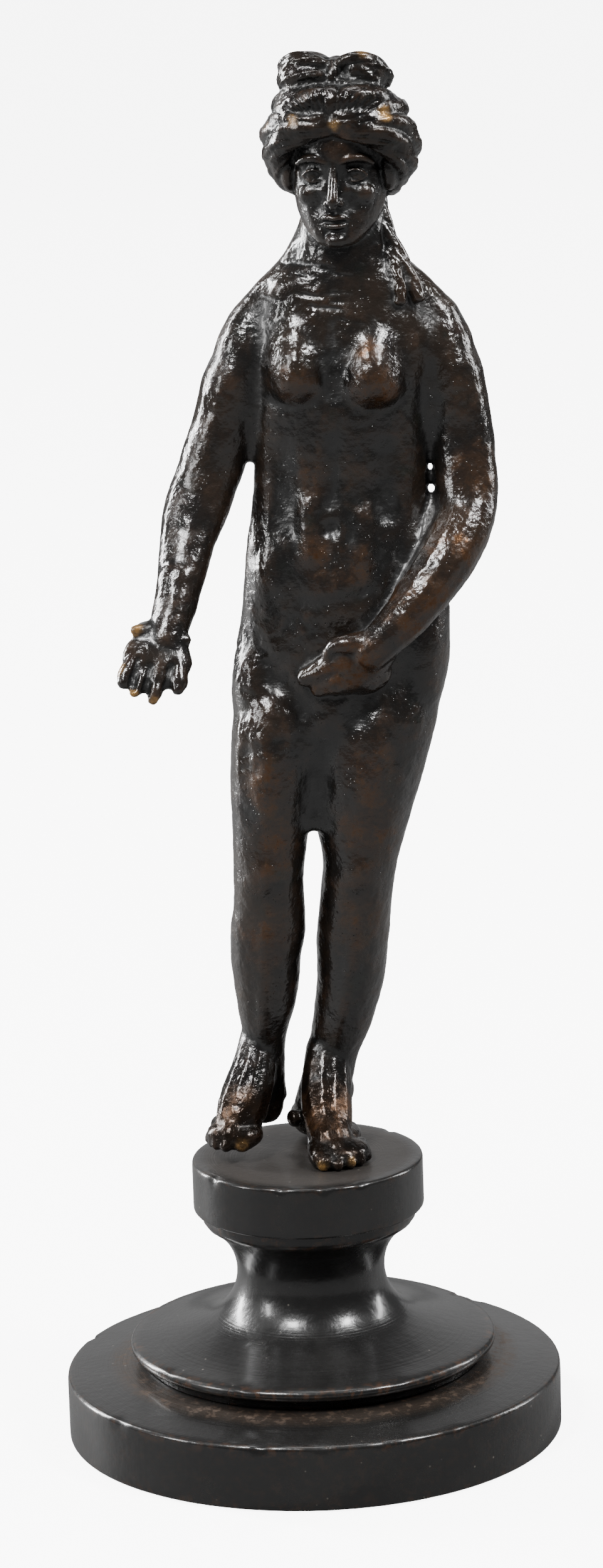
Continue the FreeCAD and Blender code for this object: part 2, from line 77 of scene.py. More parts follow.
# place, size, watts
lamps = {
    "rimBox": ((-0.87, 0.50, 0.40), (0.14, 0.70), 22.0),
    "keyBox": ((-0.40, -0.58, 0.95), (0.20, 0.20), 12.5),
    "rightBox": ((0.62, -0.38, 0.86), (0.15, 0.22), 10.5),
    "sideBox": ((0.95, 0.35, 0.45), (0.10, 0.60), 5.5),
    "leftBox": ((-0.90, -0.35, 0.45), (0.10, 0.36), 4.0),
    "backBox": ((0.0, 1.40, 0.55), (1.60, 0.90), 2.2),
    "topBox": ((0.05, 0.10, 1.20), (0.40, 0.30), 3.0),
}


def placeCamera():
    bpy.ops.object.camera_add(location=stageSizes["cameraPlace"])
    camera = bpy.context.object
    camera.name = "camera"
    camera.data.lens = stageSizes["lens"]
    camera.data.sensor_width = stageSizes["sensor"]
    camera.data.clip_start = 0.05
    camera.data.clip_end = 60.0
    level = Matrix.Rotation(math.radians(90.0 - stageSizes["cameraPitch"]), 4, "X")
    roll = Matrix.Rotation(math.radians(-stageSizes["cameraRoll"]), 4, "Z")
    camera.rotation_euler = (level @ roll).to_euler()
    bpy.context.scene.camera = camera


def layFloor():
    bpy.ops.mesh.primitive_plane_add(size=stageSizes["floorSize"], location=(0, 0, 0))
    floor = bpy.context.object
    floor.name = "floor"
    material = bpy.data.materials.new("paleFloor")
    material.use_nodes = True
    shader = material.node_tree.nodes["Principled BSDF"]
    shader.inputs["Roughness"].default_value = 0.7
    tree = material.node_tree   # a little glow for the camera keeps the paper white
    glow = tree.nodes.new("ShaderNodeEmission")
    total = tree.nodes.new("ShaderNodeAddShader")
    rays = tree.nodes.new("ShaderNodeLightPath")
    paper = tree.nodes.new("ShaderNodeMix")
    paper.data_type = "RGBA"
    paper.inputs[6].default_value = stageSizes["floorReflected"]
    paper.inputs[7].default_value = stageSizes["floorColour"]
    tree.links.new(rays.outputs["Is Camera Ray"], paper.inputs[0])
    tree.links.new(paper.outputs[2], shader.inputs["Base Color"])
    strength = tree.nodes.new("ShaderNodeMath")
    strength.operation = "MULTIPLY"
    strength.inputs[1].default_value = stageSizes["floorGlow"]
    tree.links.new(rays.outputs["Is Camera Ray"], strength.inputs[0])
    tree.links.new(strength.outputs[0], glow.inputs["Strength"])
    tree.links.new(shader.outputs[0], total.inputs[0])
    tree.links.new(glow.outputs[0], total.inputs[1])
    tree.links.new(total.outputs[0], tree.nodes["Material Output"].inputs["Surface"])
    floor.data.materials.append(material)


def softBox(name, place, size, watts):
    aim = Vector(stageSizes["middle"]) - Vector(place)
    bpy.ops.object.light_add(type="AREA", location=place, rotation=aim.to_track_quat("-Z", "Y").to_euler())
    lamp = bpy.context.object
    lamp.name = name
    lamp.data.shape = "RECTANGLE"
    lamp.data.size, lamp.data.size_y = size
    lamp.data.energy = watts
    lamp.visible_camera = False


def lightSky():
    sky = bpy.data.worlds.new("studioSky")
    sky.use_nodes = True
    tree = sky.node_tree
    background = tree.nodes["Background"]
    background.inputs["Color"].default_value = stageSizes["skyColour"]
    rays = tree.nodes.new("ShaderNodeLightPath")
    strength = tree.nodes.new("ShaderNodeMapRange")
    strength.inputs["To Min"].default_value = stageSizes["skyLight"]
    strength.inputs["To Max"].default_value = stageSizes["skySeen"]
    tree.links.new(rays.outputs["Is Camera Ray"], strength.inputs["Value"])
    tree.links.new(strength.outputs[0], background.inputs["Strength"])
    bpy.context.scene.world = sky


deselectAll()
placeCamera()
layFloor()
for lampName, lampSizes in lamps.items():
    softBox(lampName, *lampSizes)
lightSky()
print("stage set")


# how clay is laid on and worked, in millimetres

def curvedRows(rows, steps):   # rows in between, on a smooth curve through the given ones
    table = np.array(rows, float)
    padded = np.vstack([2 * table[0] - table[1], table, 2 * table[-1] - table[-2]])
    found = []
    for number in range(len(table) - 1):
        before, start, end, after = padded[number:number + 4]
        for step in range(steps):
            t = step / steps
            found.append(0.5 * (2 * start + (end - before) * t
                                + (2 * before - 5 * start + 4 * end - after) * t ** 2
                                + (3 * start - before - 3 * end + after) * t ** 3))
    found.append(table[-1])
    return found


def levelLimb(name, rings, steps=3):   # level rings of height, left, right, front, back
    deselectAll()
    bpy.ops.mesh.primitive_circle_add(vertices=28, radius=1.0, fill_type="NGON")
    limb = bpy.context.object
    limb.name = name
    bpy.ops.object.mode_set(mode="EDIT")
    bpy.ops.mesh.select_all(action="SELECT")
    place, wide, deep = Vector((0.0, 0.0, 0.0)), 1.0, 1.0
    for number, (height, left, right, front, back) in enumerate(curvedRows(rings, steps)):
        centre = Vector(((left + right) / 2, (front + back) / 2, height))
        newWide, newDeep = (right - left) / 2, (back - front) / 2
        if number == 0:
            bpy.ops.transform.translate(value=centre)
        else:
            bpy.ops.mesh.extrude_region_move(TRANSFORM_OT_translate={"value": centre - place})
        bpy.ops.transform.resize(value=(newWide / wide, newDeep / deep, 1.0), center_override=centre)
        place, wide, deep = centre, newWide, newDeep
    bpy.ops.mesh.select_all(action="SELECT")
    bpy.ops.mesh.normals_make_consistent(inside=False)
    bpy.ops.object.mode_set(mode="OBJECT")
    return limb


def mass(name, centre, half, turn=(0, 0, 0)):   # an egg of clay, turned in degrees
    deselectAll()
    bpy.ops.mesh.primitive_uv_sphere_add(segments=28, ring_count=18, radius=1.0, location=centre,
                                         rotation=[math.radians(a) for a in turn], scale=half)
    egg = bpy.context.object
    egg.name = name
    return egg


def rope(name, route, steps=4):   # a roll of clay along x, y, z, radius, with round ends
    deselectAll()
    rows = curvedRows(route, steps)
    curve = bpy.data.curves.new(name, "CURVE")
    curve.dimensions = "3D"
    curve.bevel_depth = 1.0
    curve.bevel_resolution = 4
    curve.use_fill_caps = True
    spline = curve.splines.new("POLY")
    spline.points.add(len(rows) - 1)
    for point, (x, y, z, radius) in zip(spline.points, rows):
        point.co = (x, y, z, 1.0)
        point.radius = max(radius, 0.05)
    roll = bpy.data.objects.new(name, curve)
    bpy.context.scene.collection.objects.link(roll)
    chooseOnly(roll)
    bpy.ops.object.convert(target="MESH")
    pieces = [bpy.context.object]
    for x, y, z, radius in (rows[0], rows[-1]):
        pieces.append(mass(name + "End", (x, y, z), (radius, radius, radius)))
    return joinAll(name, pieces)


def joinAll(name, pieces):
    deselectAll()
    for piece in pieces:
        piece.select_set(True)
    bpy.context.view_layer.objects.active = pieces[0]
    bpy.ops.object.transform_apply(location=True, rotation=True, scale=True)
    if len(pieces) > 1:
        bpy.ops.object.join()
    whole = bpy.context.object
    whole.name = name
    return whole


def remeshed(piece, voxel):   # one even skin round everything in the piece
    chooseOnly(piece)
    piece.data.remesh_voxel_size = voxel
    piece.data.remesh_voxel_adaptivity = 0.0
    bpy.ops.object.voxel_remesh()
    return piece


def pointsOf(piece):
    flat = np.empty(len(piece.data.vertices) * 3, np.float32)
    piece.data.vertices.foreach_get("co", flat)
    return flat.reshape(-1, 3).astype(float)


def setPoints(piece, points):
    piece.data.vertices.foreach_set("co", points.astype(np.float32).ravel())
    piece.data.update()


def normalsOf(piece):
    flat = np.empty(len(piece.data.vertices) * 3, np.float32)
    piece.data.vertex_normals.foreach_get("vector", flat)
    return flat.reshape(-1, 3).astype(float)


def edgesOf(piece):
    flat = np.empty(len(piece.data.edges) * 2, np.int32)
    piece.data.edges.foreach_get("vertices", flat)
    return flat.reshape(-1, 2)


def averaged(values, edges, count):   # each point's mean over its neighbours
    a, b = edges[:, 0], edges[:, 1]
    near = np.maximum(np.bincount(a, minlength=count) + np.bincount(b, minlength=count), 1)
    total = np.empty_like(values)
    for axis in range(values.shape[1]):
        total[:, axis] = (np.bincount(a, weights=values[b, axis], minlength=count)
                          + np.bincount(b, weights=values[a, axis], minlength=count))
    return total / near[:, None]


def relax(piece, rounds, share=None, hold=0.53):   # rubs smooth and keeps the size
    points, edges = pointsOf(piece), edgesOf(piece)
    if share is not None:   # only the points that get a share, and their edges
        use = np.zeros(len(points), bool)
        use[edges[(share[edges] > 0).any(1)].ravel()] = True
        number = np.cumsum(use) - 1
        edges = number[edges[use[edges].all(1)]]
        whole, points, share = points, points[use], share[use]
    weight = 1.0 if share is None else share[:, None]
    for _ in range(rounds):
        for pull in (0.5, -hold):
            points += pull * weight * (averaged(points, edges, len(points)) - points)
    if share is not None:
        whole[use] = points
        points = whole
    setPoints(piece, points)


def blendSeams(piece, seams, rounds, hold=0.52):   # rubs only round the given places
    points = pointsOf(piece)
    share = np.zeros(len(points))
    for x, y, z, radius in seams:
        gap = np.linalg.norm(points - (x, y, z), axis=1) / radius
        share = np.maximum(share, np.clip(1.6 * (1 - gap), 0, 1))
    relax(piece, rounds, share, hold)


def nearestOnRoute(points, route):   # distance to it, and how far along it, 0 to 1
    steps = np.diff(route, axis=0)
    lengths = np.linalg.norm(steps, axis=1)
    best = np.full(len(points), 1e9)
    along = np.zeros(len(points))
    gone = 0.0
    for start, step, length in zip(route[:-1], steps, lengths):
        t = np.clip(((points - start) @ step) / max(length ** 2, 1e-12), 0, 1)
        gap = np.linalg.norm(points - (start + t[:, None] * step), axis=1)
        closer = gap < best
        best[closer] = gap[closer]
        along[closer] = gone + t[closer] * length
        gone += length
    return best, along / max(gone, 1e-9)


class Clay:   # the skin while it is worked with strokes
    def __init__(self, piece):
        self.piece = piece
        self.refresh(first=True)

    def refresh(self, first=False):
        if not first:
            setPoints(self.piece, self.points)
        self.points = pointsOf(self.piece)
        self.normals = normalsOf(self.piece)

    def stroke(self, route, radius, depth, facing=0, taper=True):
        # rows of x, y, z, or of x, z seen from the front (facing -1) or the back (facing 1)
        seen = self.points if facing == 0 else self.points[:, [0, 2]]
        rows = np.array(curvedRows(route, 3) if len(route) > 2 else route, float)
        near = np.where(np.all((seen > rows.min(0) - radius) & (seen < rows.max(0) + radius), axis=1))[0]
        if len(rows) == 1:
            gap, along = np.linalg.norm(seen[near] - rows[0], axis=1), np.full(len(near), 0.5)
        else:
            gap, along = nearestOnRoute(seen[near], rows)
        force = np.clip(1 - (gap / radius) ** 2, 0, 1) ** 2
        if taper and len(rows) > 1:
            force = force * np.clip(np.minimum(along, 1 - along) * 6, 0.1, 1)
        if facing:
            force = force * np.clip(self.normals[near, 1] * facing * 2.2, 0, 1)
        self.points[near] += (force * depth)[:, None] * self.normals[near]

    def swell(self, centre, reach, height, facing=-1, crispBelow=2.0, crispAbove=2.0):
        # a rounded form seen from the front or the back: x, z, and its reach sideways, down, up
        x = (self.points[:, 0] - centre[0]) / reach[0]
        z = self.points[:, 2] - centre[1]
        z = np.where(z < 0, z / reach[1], z / reach[2])
        power = crispBelow + (crispAbove - crispBelow) * np.clip(0.5 + z, 0, 1)
        force = np.clip(1 - x ** 2 - z ** 2, 0, 1) ** power
        force = force * np.clip(self.normals[:, 1] * facing * 2.0, 0, 1)
        self.points[:, 1] += facing * height * force


figureSizes = {
    "modelledSole": 41.3,   # height of the left sole in the tables below
    "roughVoxel": 0.55,
    "roughRounds": 90,
    "armVoxel": 0.34,
    "fineVoxel": 0.30,
}

trunkRings = [
    (96.6, -4.4, 12.6, -3.0, 9.0),
    (100.0, -6.8, 17.0, -4.2, 10.6),
    (103.6, -7.8, 19.4, -4.6, 12.0),
    (107.2, -8.4, 20.8, -4.8, 12.6),
    (112.7, -8.3, 22.0, -5.0, 13.0),
    (116.2, -7.8, 22.6, -5.2, 12.6),
    (120.0, -7.0, 22.8, -5.4, 11.8),
    (124.0, -6.5, 22.3, -5.6, 10.6),
    (128.1, -6.1, 21.3, -5.4, 9.6),
    (132.6, -5.5, 20.5, -5.0, 9.0),
    (136.6, -4.9, 20.2, -4.6, 8.8),
    (140.6, -4.5, 20.1, -4.6, 9.2),
    (145.6, -4.4, 20.2, -4.8, 10.0),
    (150.6, -4.6, 20.5, -5.0, 10.8),
    (155.6, -4.6, 21.6, -5.0, 11.0),
    (159.6, -4.6, 22.2, -4.6, 10.6),
    (163.6, -3.2, 20.8, -3.8, 9.8),
    (166.6, -0.6, 18.4, -3.0, 9.0),
    (169.6, 1.6, 16.8, -2.6, 8.4),
    (172.6, 2.6, 15.6, -2.4, 8.0),
    (177.0, 3.2, 15.0, -2.2, 8.2),
]

rightLegRings = [
    (112.0, -6.4, 5.0, -3.4, 10.0),
    (108.0, -8.0, 4.6, -4.8, 10.4),
    (104.0, -8.8, 3.6, -5.6, 10.2),
    (96.6, -9.3, 2.8, -5.5, 9.2),
    (91.2, -9.2, 2.1, -5.0, 8.2),
    (85.7, -9.2, 1.2, -4.6, 7.4),
    (82.0, -9.3, 0.7, -4.2, 7.2),
    (78.0, -9.5, 0.8, -3.2, 8.2),
    (74.0, -10.1, 0.8, -2.2, 9.6),
    (70.0, -10.1, 0.0, -1.2, 10.6),
    (66.1, -9.8, -0.3, -0.2, 10.8),
    (62.1, -9.4, -1.1, 1.0, 10.6),
    (58.2, -8.9, -2.4, 2.4, 10.4),
    (54.1, -8.8, -2.8, 3.4, 10.4),
    (50.6, -9.0, -2.9, 3.6, 10.8),
    (47.6, -8.6, -2.6, 4.2, 11.6),
]

leftLegRings = [
    (112.0, 3.4, 21.4, -3.4, 12.2),
    (108.0, 2.4, 21.0, -4.8, 12.6),
    (103.7, 1.8, 20.3, -5.5, 12.2),
    (96.4, 1.8, 18.1, -5.2, 10.8),
    (91.0, 2.3, 16.4, -4.6, 9.6),
    (85.5, 3.5, 14.6, -4.2, 8.6),
    (81.7, 3.3, 13.8, -3.8, 8.4),
    (77.8, 2.9, 13.3, -2.8, 9.2),
    (73.8, 2.4, 12.9, -1.8, 10.6),
    (69.8, 2.3, 12.5, -0.8, 11.6),
    (65.9, 2.2, 12.0, 0.2, 11.8),
    (61.9, 1.7, 10.9, 1.2, 11.6),
    (58.1, 1.1, 9.6, 2.4, 11.4),
    (54.1, 0.3, 7.9, 3.4, 11.4),
    (50.2, -0.7, 7.0, 3.8, 11.8),
    (46.3, -1.8, 6.4, 4.2, 12.8),
    (43.4, -2.2, 5.4, 5.0, 13.0),
]

rightArmRings = [
    (160.0, -8.0, -0.6, 0.0, 8.6),
    (155.4, -11.0, -2.6, -1.6, 9.4),
    (150.4, -12.3, -3.4, -1.6, 9.0),
    (145.5, -14.0, -4.5, -1.5, 8.0),
    (141.7, -15.4, -5.6, -1.5, 7.2),
    (138.3, -16.8, -7.0, -2.2, 6.4),
    (134.9, -17.7, -8.4, -3.4, 4.8),
    (131.7, -18.1, -10.0, -5.0, 2.8),
    (128.5, -18.4, -11.2, -6.6, 0.6),
    (125.3, -18.9, -12.3, -8.0, -2.2),
    (122.6, -19.8, -13.0, -9.4, -4.8),
]

leftArmRings = [
    (160.0, 18.4, 26.2, 0.0, 8.6),
    (155.8, 19.7, 27.9, -1.6, 9.2),
    (150.5, 20.6, 28.9, -1.8, 8.6),
    (145.5, 20.6, 29.5, -1.8, 7.6),
    (141.6, 20.75, 29.7, -2.4, 6.8),
    (137.8, 20.9, 29.9, -3.4, 6.0),
    (134.4, 21.4, 29.4, -4.2, 4.8),
    (132.0, 22.8, 28.2, -3.4, 3.0),
]

# eggs of clay on the trunk and legs: centre, half sizes, turn in degrees
bodyMasses = {
    "ribCage": ((8.5, 2.8, 150.0), (12.0, 7.4, 13.0), (0, 0, 0)),
    "lowerBelly": ((6.8, -0.4, 124.6), (8.4, 5.6, 8.6), (0, 0, 0)),
    "flankRight": ((-1.4, 2.2, 127.0), (4.4, 6.0, 9.0), (0, 6, 0)),
    "flankLeft": ((17.2, 2.4, 128.0), (4.6, 6.2, 9.0), (0, -8, 0)),
    "pubis": ((4.8, -1.2, 109.0), (5.6, 3.6, 6.4), (0, 0, 0)),
    "hipRight": ((-4.2, 2.8, 109.0), (4.4, 6.2, 11.0), (0, 0, 0)),
    "hipLeft": ((17.8, 3.4, 115.0), (4.8, 6.8, 12.0), (0, 4, 0)),
    "seatRight": ((0.4, 7.8, 110.8), (7.0, 6.4, 8.2), (0, 0, 0)),
    "seatLeft": ((13.0, 8.4, 112.6), (7.6, 6.6, 8.8), (0, 0, 0)),
    "bladeRight": ((1.6, 7.6, 157.0), (5.6, 2.9, 8.0), (0, -14, 0)),
    "bladeLeft": ((16.2, 7.6, 157.0), (5.6, 2.9, 8.0), (0, 14, 0)),
    "upperChest": ((8.9, 1.2, 165.6), (10.8, 4.3, 6.4), (0, 0, 0)),
    "shoulderRight": ((-5.1, 4.0, 157.6), (4.5, 4.9, 7.0), (0, 15, 0)),
    "shoulderLeft": ((22.7, 4.0, 157.4), (4.5, 4.9, 7.2), (0, -12, 0)),
    "thighRight": ((-3.6, -0.2, 98.0), (5.2, 5.4, 15.0), (0, 0, 0)),
    "thighLeft": ((10.4, 0.2, 99.0), (6.8, 5.8, 16.0), (0, 7, 0)),
    "calfRight": ((-4.9, 6.6, 70.6), (4.5, 4.3, 10.4), (0, 0, 0)),
    "calfLeft": ((7.4, 7.6, 70.4), (4.7, 4.4, 10.6), (0, 0, 0)),
}

# rolls of clay: x, y, z, radius along each
bodyRopes = {
    "yokeRight": [(6.0, 4.0, 173.4, 3.8), (2.6, 4.0, 169.0, 3.1), (-1.0, 4.0, 165.6, 3.1),
                  (-4.0, 4.0, 161.6, 3.7)],
    "yokeLeft": [(11.8, 4.0, 173.4, 3.8), (15.2, 4.0, 169.0, 3.1), (18.8, 4.0, 165.6, 3.1),
                 (21.8, 4.0, 161.6, 3.7)],
    "thighWeb": [(2.8, 2.4, 108.0, 5.0), (2.8, 0.6, 101.0, 3.6), (2.6, -0.9, 95.0, 2.6), (2.4, -1.0, 91.2, 1.8)],
}

armRopes = {
    "armWebLeft": [(20.6, 3.8, 163.0, 2.4), (20.8, 2.6, 156.0, 3.0), (20.8, 2.2, 150.0, 2.6), (20.95, 2.6, 143.0, 1.5)],
    "slitBridge": [(20.5, 2.4, 139.6, 0.95), (21.5, 2.4, 139.6, 0.95)],
    "elbowWeb": [(21.4, 1.4, 135.8, 1.8), (20.0, -0.6, 131.0, 2.4), (17.4, -2.6, 126.0, 2.6),
                 (14.6, -3.6, 121.4, 2.6)],
    "foreArmLeft": [(26.2, 0.8, 138.0, 3.5), (25.2, -1.0, 134.2, 4.1), (22.6, -3.9, 129.6, 4.2),
                    (19.3, -6.2, 125.3, 3.8), (16.0, -7.4, 121.4, 3.3), (13.2, -7.8, 118.6, 3.0),
                    (11.2, -7.7, 116.8, 2.8)],
    "armWebRight": [(-3.2, 3.8, 163.0, 2.4), (-4.2, 2.6, 156.0, 3.0), (-4.5, 2.2, 150.0, 2.6), (-4.9, 2.4, 143.8, 1.4)],
    "wristRight": [(-15.4, -4.4, 127.0, 3.2), (-16.2, -6.9, 123.0, 2.9), (-17.4, -8.9, 119.6, 2.7)],
}

# the sides of the feet, hands and fingers
footMasses = {
    "heelLeft": ((0.6, 9.6, 44.4), (2.9, 3.5, 3.0), (0, 0, 0)),
    "outerArchLeft": ((4.6, 2.6, 43.0), (3.1, 5.8, 1.9), (0, 0, -14)),
    "ballLeft": ((4.5, -4.2, 43.0), (4.5, 4.2, 2.0), (0, 0, 12)),
    "ankleOuterLeft": ((5.6, 8.4, 48.6), (1.5, 1.9, 2.4), (0, 0, 0)),
    "nubLeft": ((-1.5, 3.6, 45.8), (1.3, 1.8, 1.3), (0, 0, 0)),
    "heelRight": ((-6.0, 6.6, 47.2), (2.8, 3.3, 2.9), (0, 0, 0)),
    "outerArchRight": ((-11.0, 2.4, 44.9), (2.6, 4.8, 1.8), (0, 0, 20)),
    "ballRight": ((-10.3, -1.0, 45.0), (4.2, 3.4, 2.2), (0, 0, -24)),
    "ankleOuterRight": ((-7.9, 6.8, 50.6), (1.5, 1.9, 2.4), (0, 0, 0)),
}

footRopes = {
    "instepLeft": [(3.4, 6.2, 55.0, 3.2), (3.0, 3.6, 49.8, 3.8), (3.2, -0.2, 45.8, 3.5), (3.8, -3.8, 43.9, 2.8),
                   (4.2, -5.6, 43.4, 2.0)],
    "instepRight": [(-6.6, 5.8, 57.0, 2.8), (-7.6, 3.6, 52.3, 3.5), (-9.0, 1.4, 48.6, 3.7),
                    (-10.2, -0.8, 46.2, 3.0), (-10.8, -2.2, 45.4, 2.1)],
    "bigToeLeft": [(1.9, -3.4, 43.0, 1.9), (1.9, -6.4, 42.8, 1.7), (2.5, -8.0, 42.5, 1.35)],
    "secondToeLeft": [(4.0, -4.0, 42.9, 1.4), (4.3, -7.0, 42.6, 1.25), (4.4, -8.5, 42.2, 0.95)],
    "thirdToeLeft": [(5.7, -3.6, 42.9, 1.4), (6.0, -6.3, 42.5, 1.2), (6.2, -7.8, 42.2, 0.9)],
    "fourthToeLeft": [(7.0, -2.6, 42.8, 1.3), (7.4, -5.0, 42.5, 1.15), (7.6, -6.4, 42.2, 0.85)],
    "littleToeLeft": [(7.6, -1.0, 42.7, 1.25), (8.2, -3.2, 42.4, 1.05), (8.5, -4.6, 42.2, 0.8)],
    "bigToeRight": [(-8.0, -0.4, 44.9, 1.7), (-8.8, -2.4, 44.6, 1.6), (-9.4, -3.5, 44.3, 1.3)],
    "secondToeRight": [(-10.2, -0.8, 44.8, 1.35), (-11.2, -2.8, 44.4, 1.2), (-11.6, -3.7, 44.1, 0.95)],
    "thirdToeRight": [(-11.4, 0.2, 44.7, 1.3), (-12.5, -1.8, 44.3, 1.15), (-12.9, -2.5, 44.0, 0.9)],
    "fourthToeRight": [(-12.2, 1.4, 44.6, 1.25), (-13.2, -0.6, 44.2, 1.1), (-13.5, -1.3, 44.0, 0.85)],
    "littleToeRight": [(-12.6, 2.8, 44.6, 1.15), (-13.6, 1.0, 44.3, 1.0), (-13.9, 0.3, 44.0, 0.8)],
}

handMasses = {
    "palmRight": ((-18.7, -11.0, 117.2), (4.9, 1.7, 4.6), (-32, 8, 0)),
    "heelOfHandRight": ((-17.3, -9.2, 119.8), (3.0, 2.0, 3.6), (-32, 10, 0)),
    "thumbBaseRight": ((-19.8, -9.0, 119.8), (2.2, 1.8, 2.8), (-32, -24, 0)),
    "nubRight": ((-14.5, -9.8, 119.7), (0.8, 0.8, 0.9), (0, 0, 0)),
    "backOfHandLeft": ((9.6, -6.6, 115.0), (6.4, 2.3, 3.5), (0, -34, 0)),
    "edgeOfHandLeft": ((11.0, -5.4, 112.8), (3.4, 2.0, 2.4), (0, -34, 0)),
}

handRopes = {
    "thumbRight": [(-19.6, -8.8, 120.6, 1.5), (-20.8, -9.4, 121.1, 1.1), (-21.6, -9.8, 121.3, 0.75)],
    "indexRight": [(-21.4, -11.4, 117.2, 1.7), (-22.9, -12.9, 115.6, 1.4), (-23.3, -13.6, 114.8, 1.0)],
    "middleRight": [(-20.0, -11.8, 116.0, 1.6), (-21.5, -13.6, 114.0, 1.2), (-21.9, -14.2, 113.5, 0.8)],
    "ringRight": [(-18.6, -11.6, 115.6, 1.6), (-19.2, -13.8, 113.2, 1.2), (-19.4, -14.4, 112.4, 0.8)],
    "littleRight": [(-16.0, -10.8, 116.8, 1.6), (-15.8, -12.6, 114.4, 1.4), (-15.9, -13.4, 113.6, 0.95)],
    "webRight": [(-22.2, -12.3, 115.6, 1.2), (-19.4, -12.8, 114.8, 1.2), (-16.4, -12.4, 114.9, 1.2)],
    "thumbLeft": [(9.8, -8.0, 118.0, 1.8), (7.6, -8.2, 118.0, 1.4), (5.9, -7.9, 117.5, 1.15), (5.1, -7.2, 116.2, 0.9)],
    "indexLeft": [(7.6, -6.8, 115.6, 2.2), (4.4, -6.2, 114.0, 1.9), (2.0, -5.6, 113.0, 1.4)],
    "middleLeft": [(8.4, -6.6, 113.8, 2.2), (5.6, -6.1, 112.4, 1.9), (3.8, -5.6, 111.5, 1.4)],
    "ringLeft": [(9.6, -6.2, 112.8, 2.0), (7.2, -5.8, 111.8, 1.7), (6.0, -5.4, 111.3, 1.2)],
    "littleLeft": [(11.2, -5.8, 112.4, 1.7), (9.6, -5.4, 111.8, 1.3), (8.6, -5.2, 111.4, 1.0)],
}

# places that are rubbed until no seam shows: x, y, z, radius
armSeams = [(-4.2, 3.0, 161.0, 11.0), (-5.4, 3.6, 149.0, 6.0), (22.2, 3.0, 161.0, 11.0), (-15.9, -6.0, 124.0, 6.0),
            (-13.4, 0.0, 133.0, 6.0), (25.4, 0.6, 136.6, 6.0), (20.6, -3.0, 129.0, 3.6), (8.9, 3.0, 171.0, 9.0),
            (1.0, 0.0, 166.0, 8.0), (17.0, 0.0, 166.0, 8.0), (-4.6, 2.4, 154.0, 6.5), (21.0, 2.4, 154.0, 6.5),
            (-4.8, 2.4, 147.0, 4.2), (21.0, 2.4, 147.0, 4.2), (2.6, -2.0, 101.0, 7.0), (2.5, -1.6, 95.0, 5.4),
            (2.4, -2.4, 92.6, 4.6)]
smallSeams = [(2.6, 6.0, 47.6, 5.5), (0.4, 8.4, 50.6, 5.5), (-6.6, 5.6, 49.6, 5.5), (-5.6, 7.6, 52.4, 5.5),
              (13.0, -7.2, 118.2, 5.0), (10.6, -6.6, 114.6, 4.2), (-17.2, -8.8, 120.0, 5.6),
              (-8.6, 2.4, 46.4, 4.4), (2.8, 2.4, 45.4, 4.6), (-6.8, 6.6, 55.0, 6.0), (3.2, 7.4, 54.0, 6.0)]
wornPlaces = [(-11.4, -1.6, 44.8, 6.0), (5.0, -5.4, 42.8, 6.6), (5.4, -7.0, 113.4, 7.0), (-19.8, -12.2, 115.4, 6.0)]


def roughBody():
    pieces = [levelLimb("trunk", trunkRings), levelLimb("rightLeg", rightLegRings),
              levelLimb("leftLeg", leftLegRings)]
    pieces += [mass(name, *sizes) for name, sizes in bodyMasses.items()]
    pieces += [rope(name, route) for name, route in bodyRopes.items()]
    body = joinAll("bronzeFigure", pieces)
    remeshed(body, figureSizes["roughVoxel"])
    relax(body, figureSizes["roughRounds"], hold=0.51)
    return body


def workFront(clay):
    clay.swell((1.3, 155.2), (4.5, 3.9, 8.0), 2.7, crispBelow=1.0, crispAbove=1.6)
    clay.swell((12.9, 154.5), (4.6, 4.2, 8.0), 2.8, crispBelow=1.0, crispAbove=1.6)
    clay.refresh()
    front = -1
    clay.stroke([(6.9, 165), (7.2, 158), (7.1, 150)], 2.6, -0.5, front)           # breastbone
    clay.stroke([(6.9, 148), (6.6, 141), (6.3, 135.5)], 2.2, -0.6, front)         # middle of the belly
    clay.stroke([(-0.8, 147), (-0.2, 140), (-0.8, 132)], 2.8, -0.55, front)
    clay.stroke([(14.6, 147), (14.0, 140), (14.8, 133)], 2.8, -0.6, front)
    clay.stroke([(3.3, 139), (3.1, 133), (3.6, 128)], 2.2, 0.75, front)           # the two ridges beside it
    clay.stroke([(10.4, 138), (11.0, 132), (10.2, 127)], 2.2, 0.7, front)
    clay.stroke([(6.2, 133.6)], 1.5, -0.9, front)                                 # navel
    clay.stroke([(0.5, 124.6), (4.0, 123.2), (8.5, 123.8), (12.5, 125.8)], 1.7, -0.35, front)
    clay.stroke([(-6.8, 119), (-3.4, 113.4), (0.6, 109.0), (4.0, 105.4)], 3.0, -0.35, front)  # groin
    clay.stroke([(15.5, 113.6), (11.5, 109.2), (7.2, 105.0)], 2.8, -0.3, front)
    clay.swell((5.2, 107.0), (3.8, 3.8, 4.8), 0.5)
    clay.stroke([(5.0, 105.0), (3.8, 100), (2.9, 95), (2.4, 90)], 2.4, -0.5, front)  # between the thighs
    clay.stroke([(-2.8, 103), (-3.6, 97), (-4.0, 91)], 2.4, 0.35, front)
    clay.stroke([(-6.8, 104), (-7.0, 97), (-6.6, 91)], 1.8, -0.3, front)
    clay.stroke([(12.4, 106), (11.0, 98), (9.6, 91)], 2.6, 0.35, front)
    clay.swell((-4.8, 83.9), (3.2, 3.4, 3.6), 0.5)                                # knees
    clay.swell((8.8, 83.5), (3.4, 3.4, 3.6), 0.5)
    clay.stroke([(-4.6, 79), (-5.2, 68), (-5.9, 56)], 1.6, 0.4, front)            # shins
    clay.stroke([(8.4, 79), (7.0, 68), (4.3, 56)], 1.6, 0.4, front)


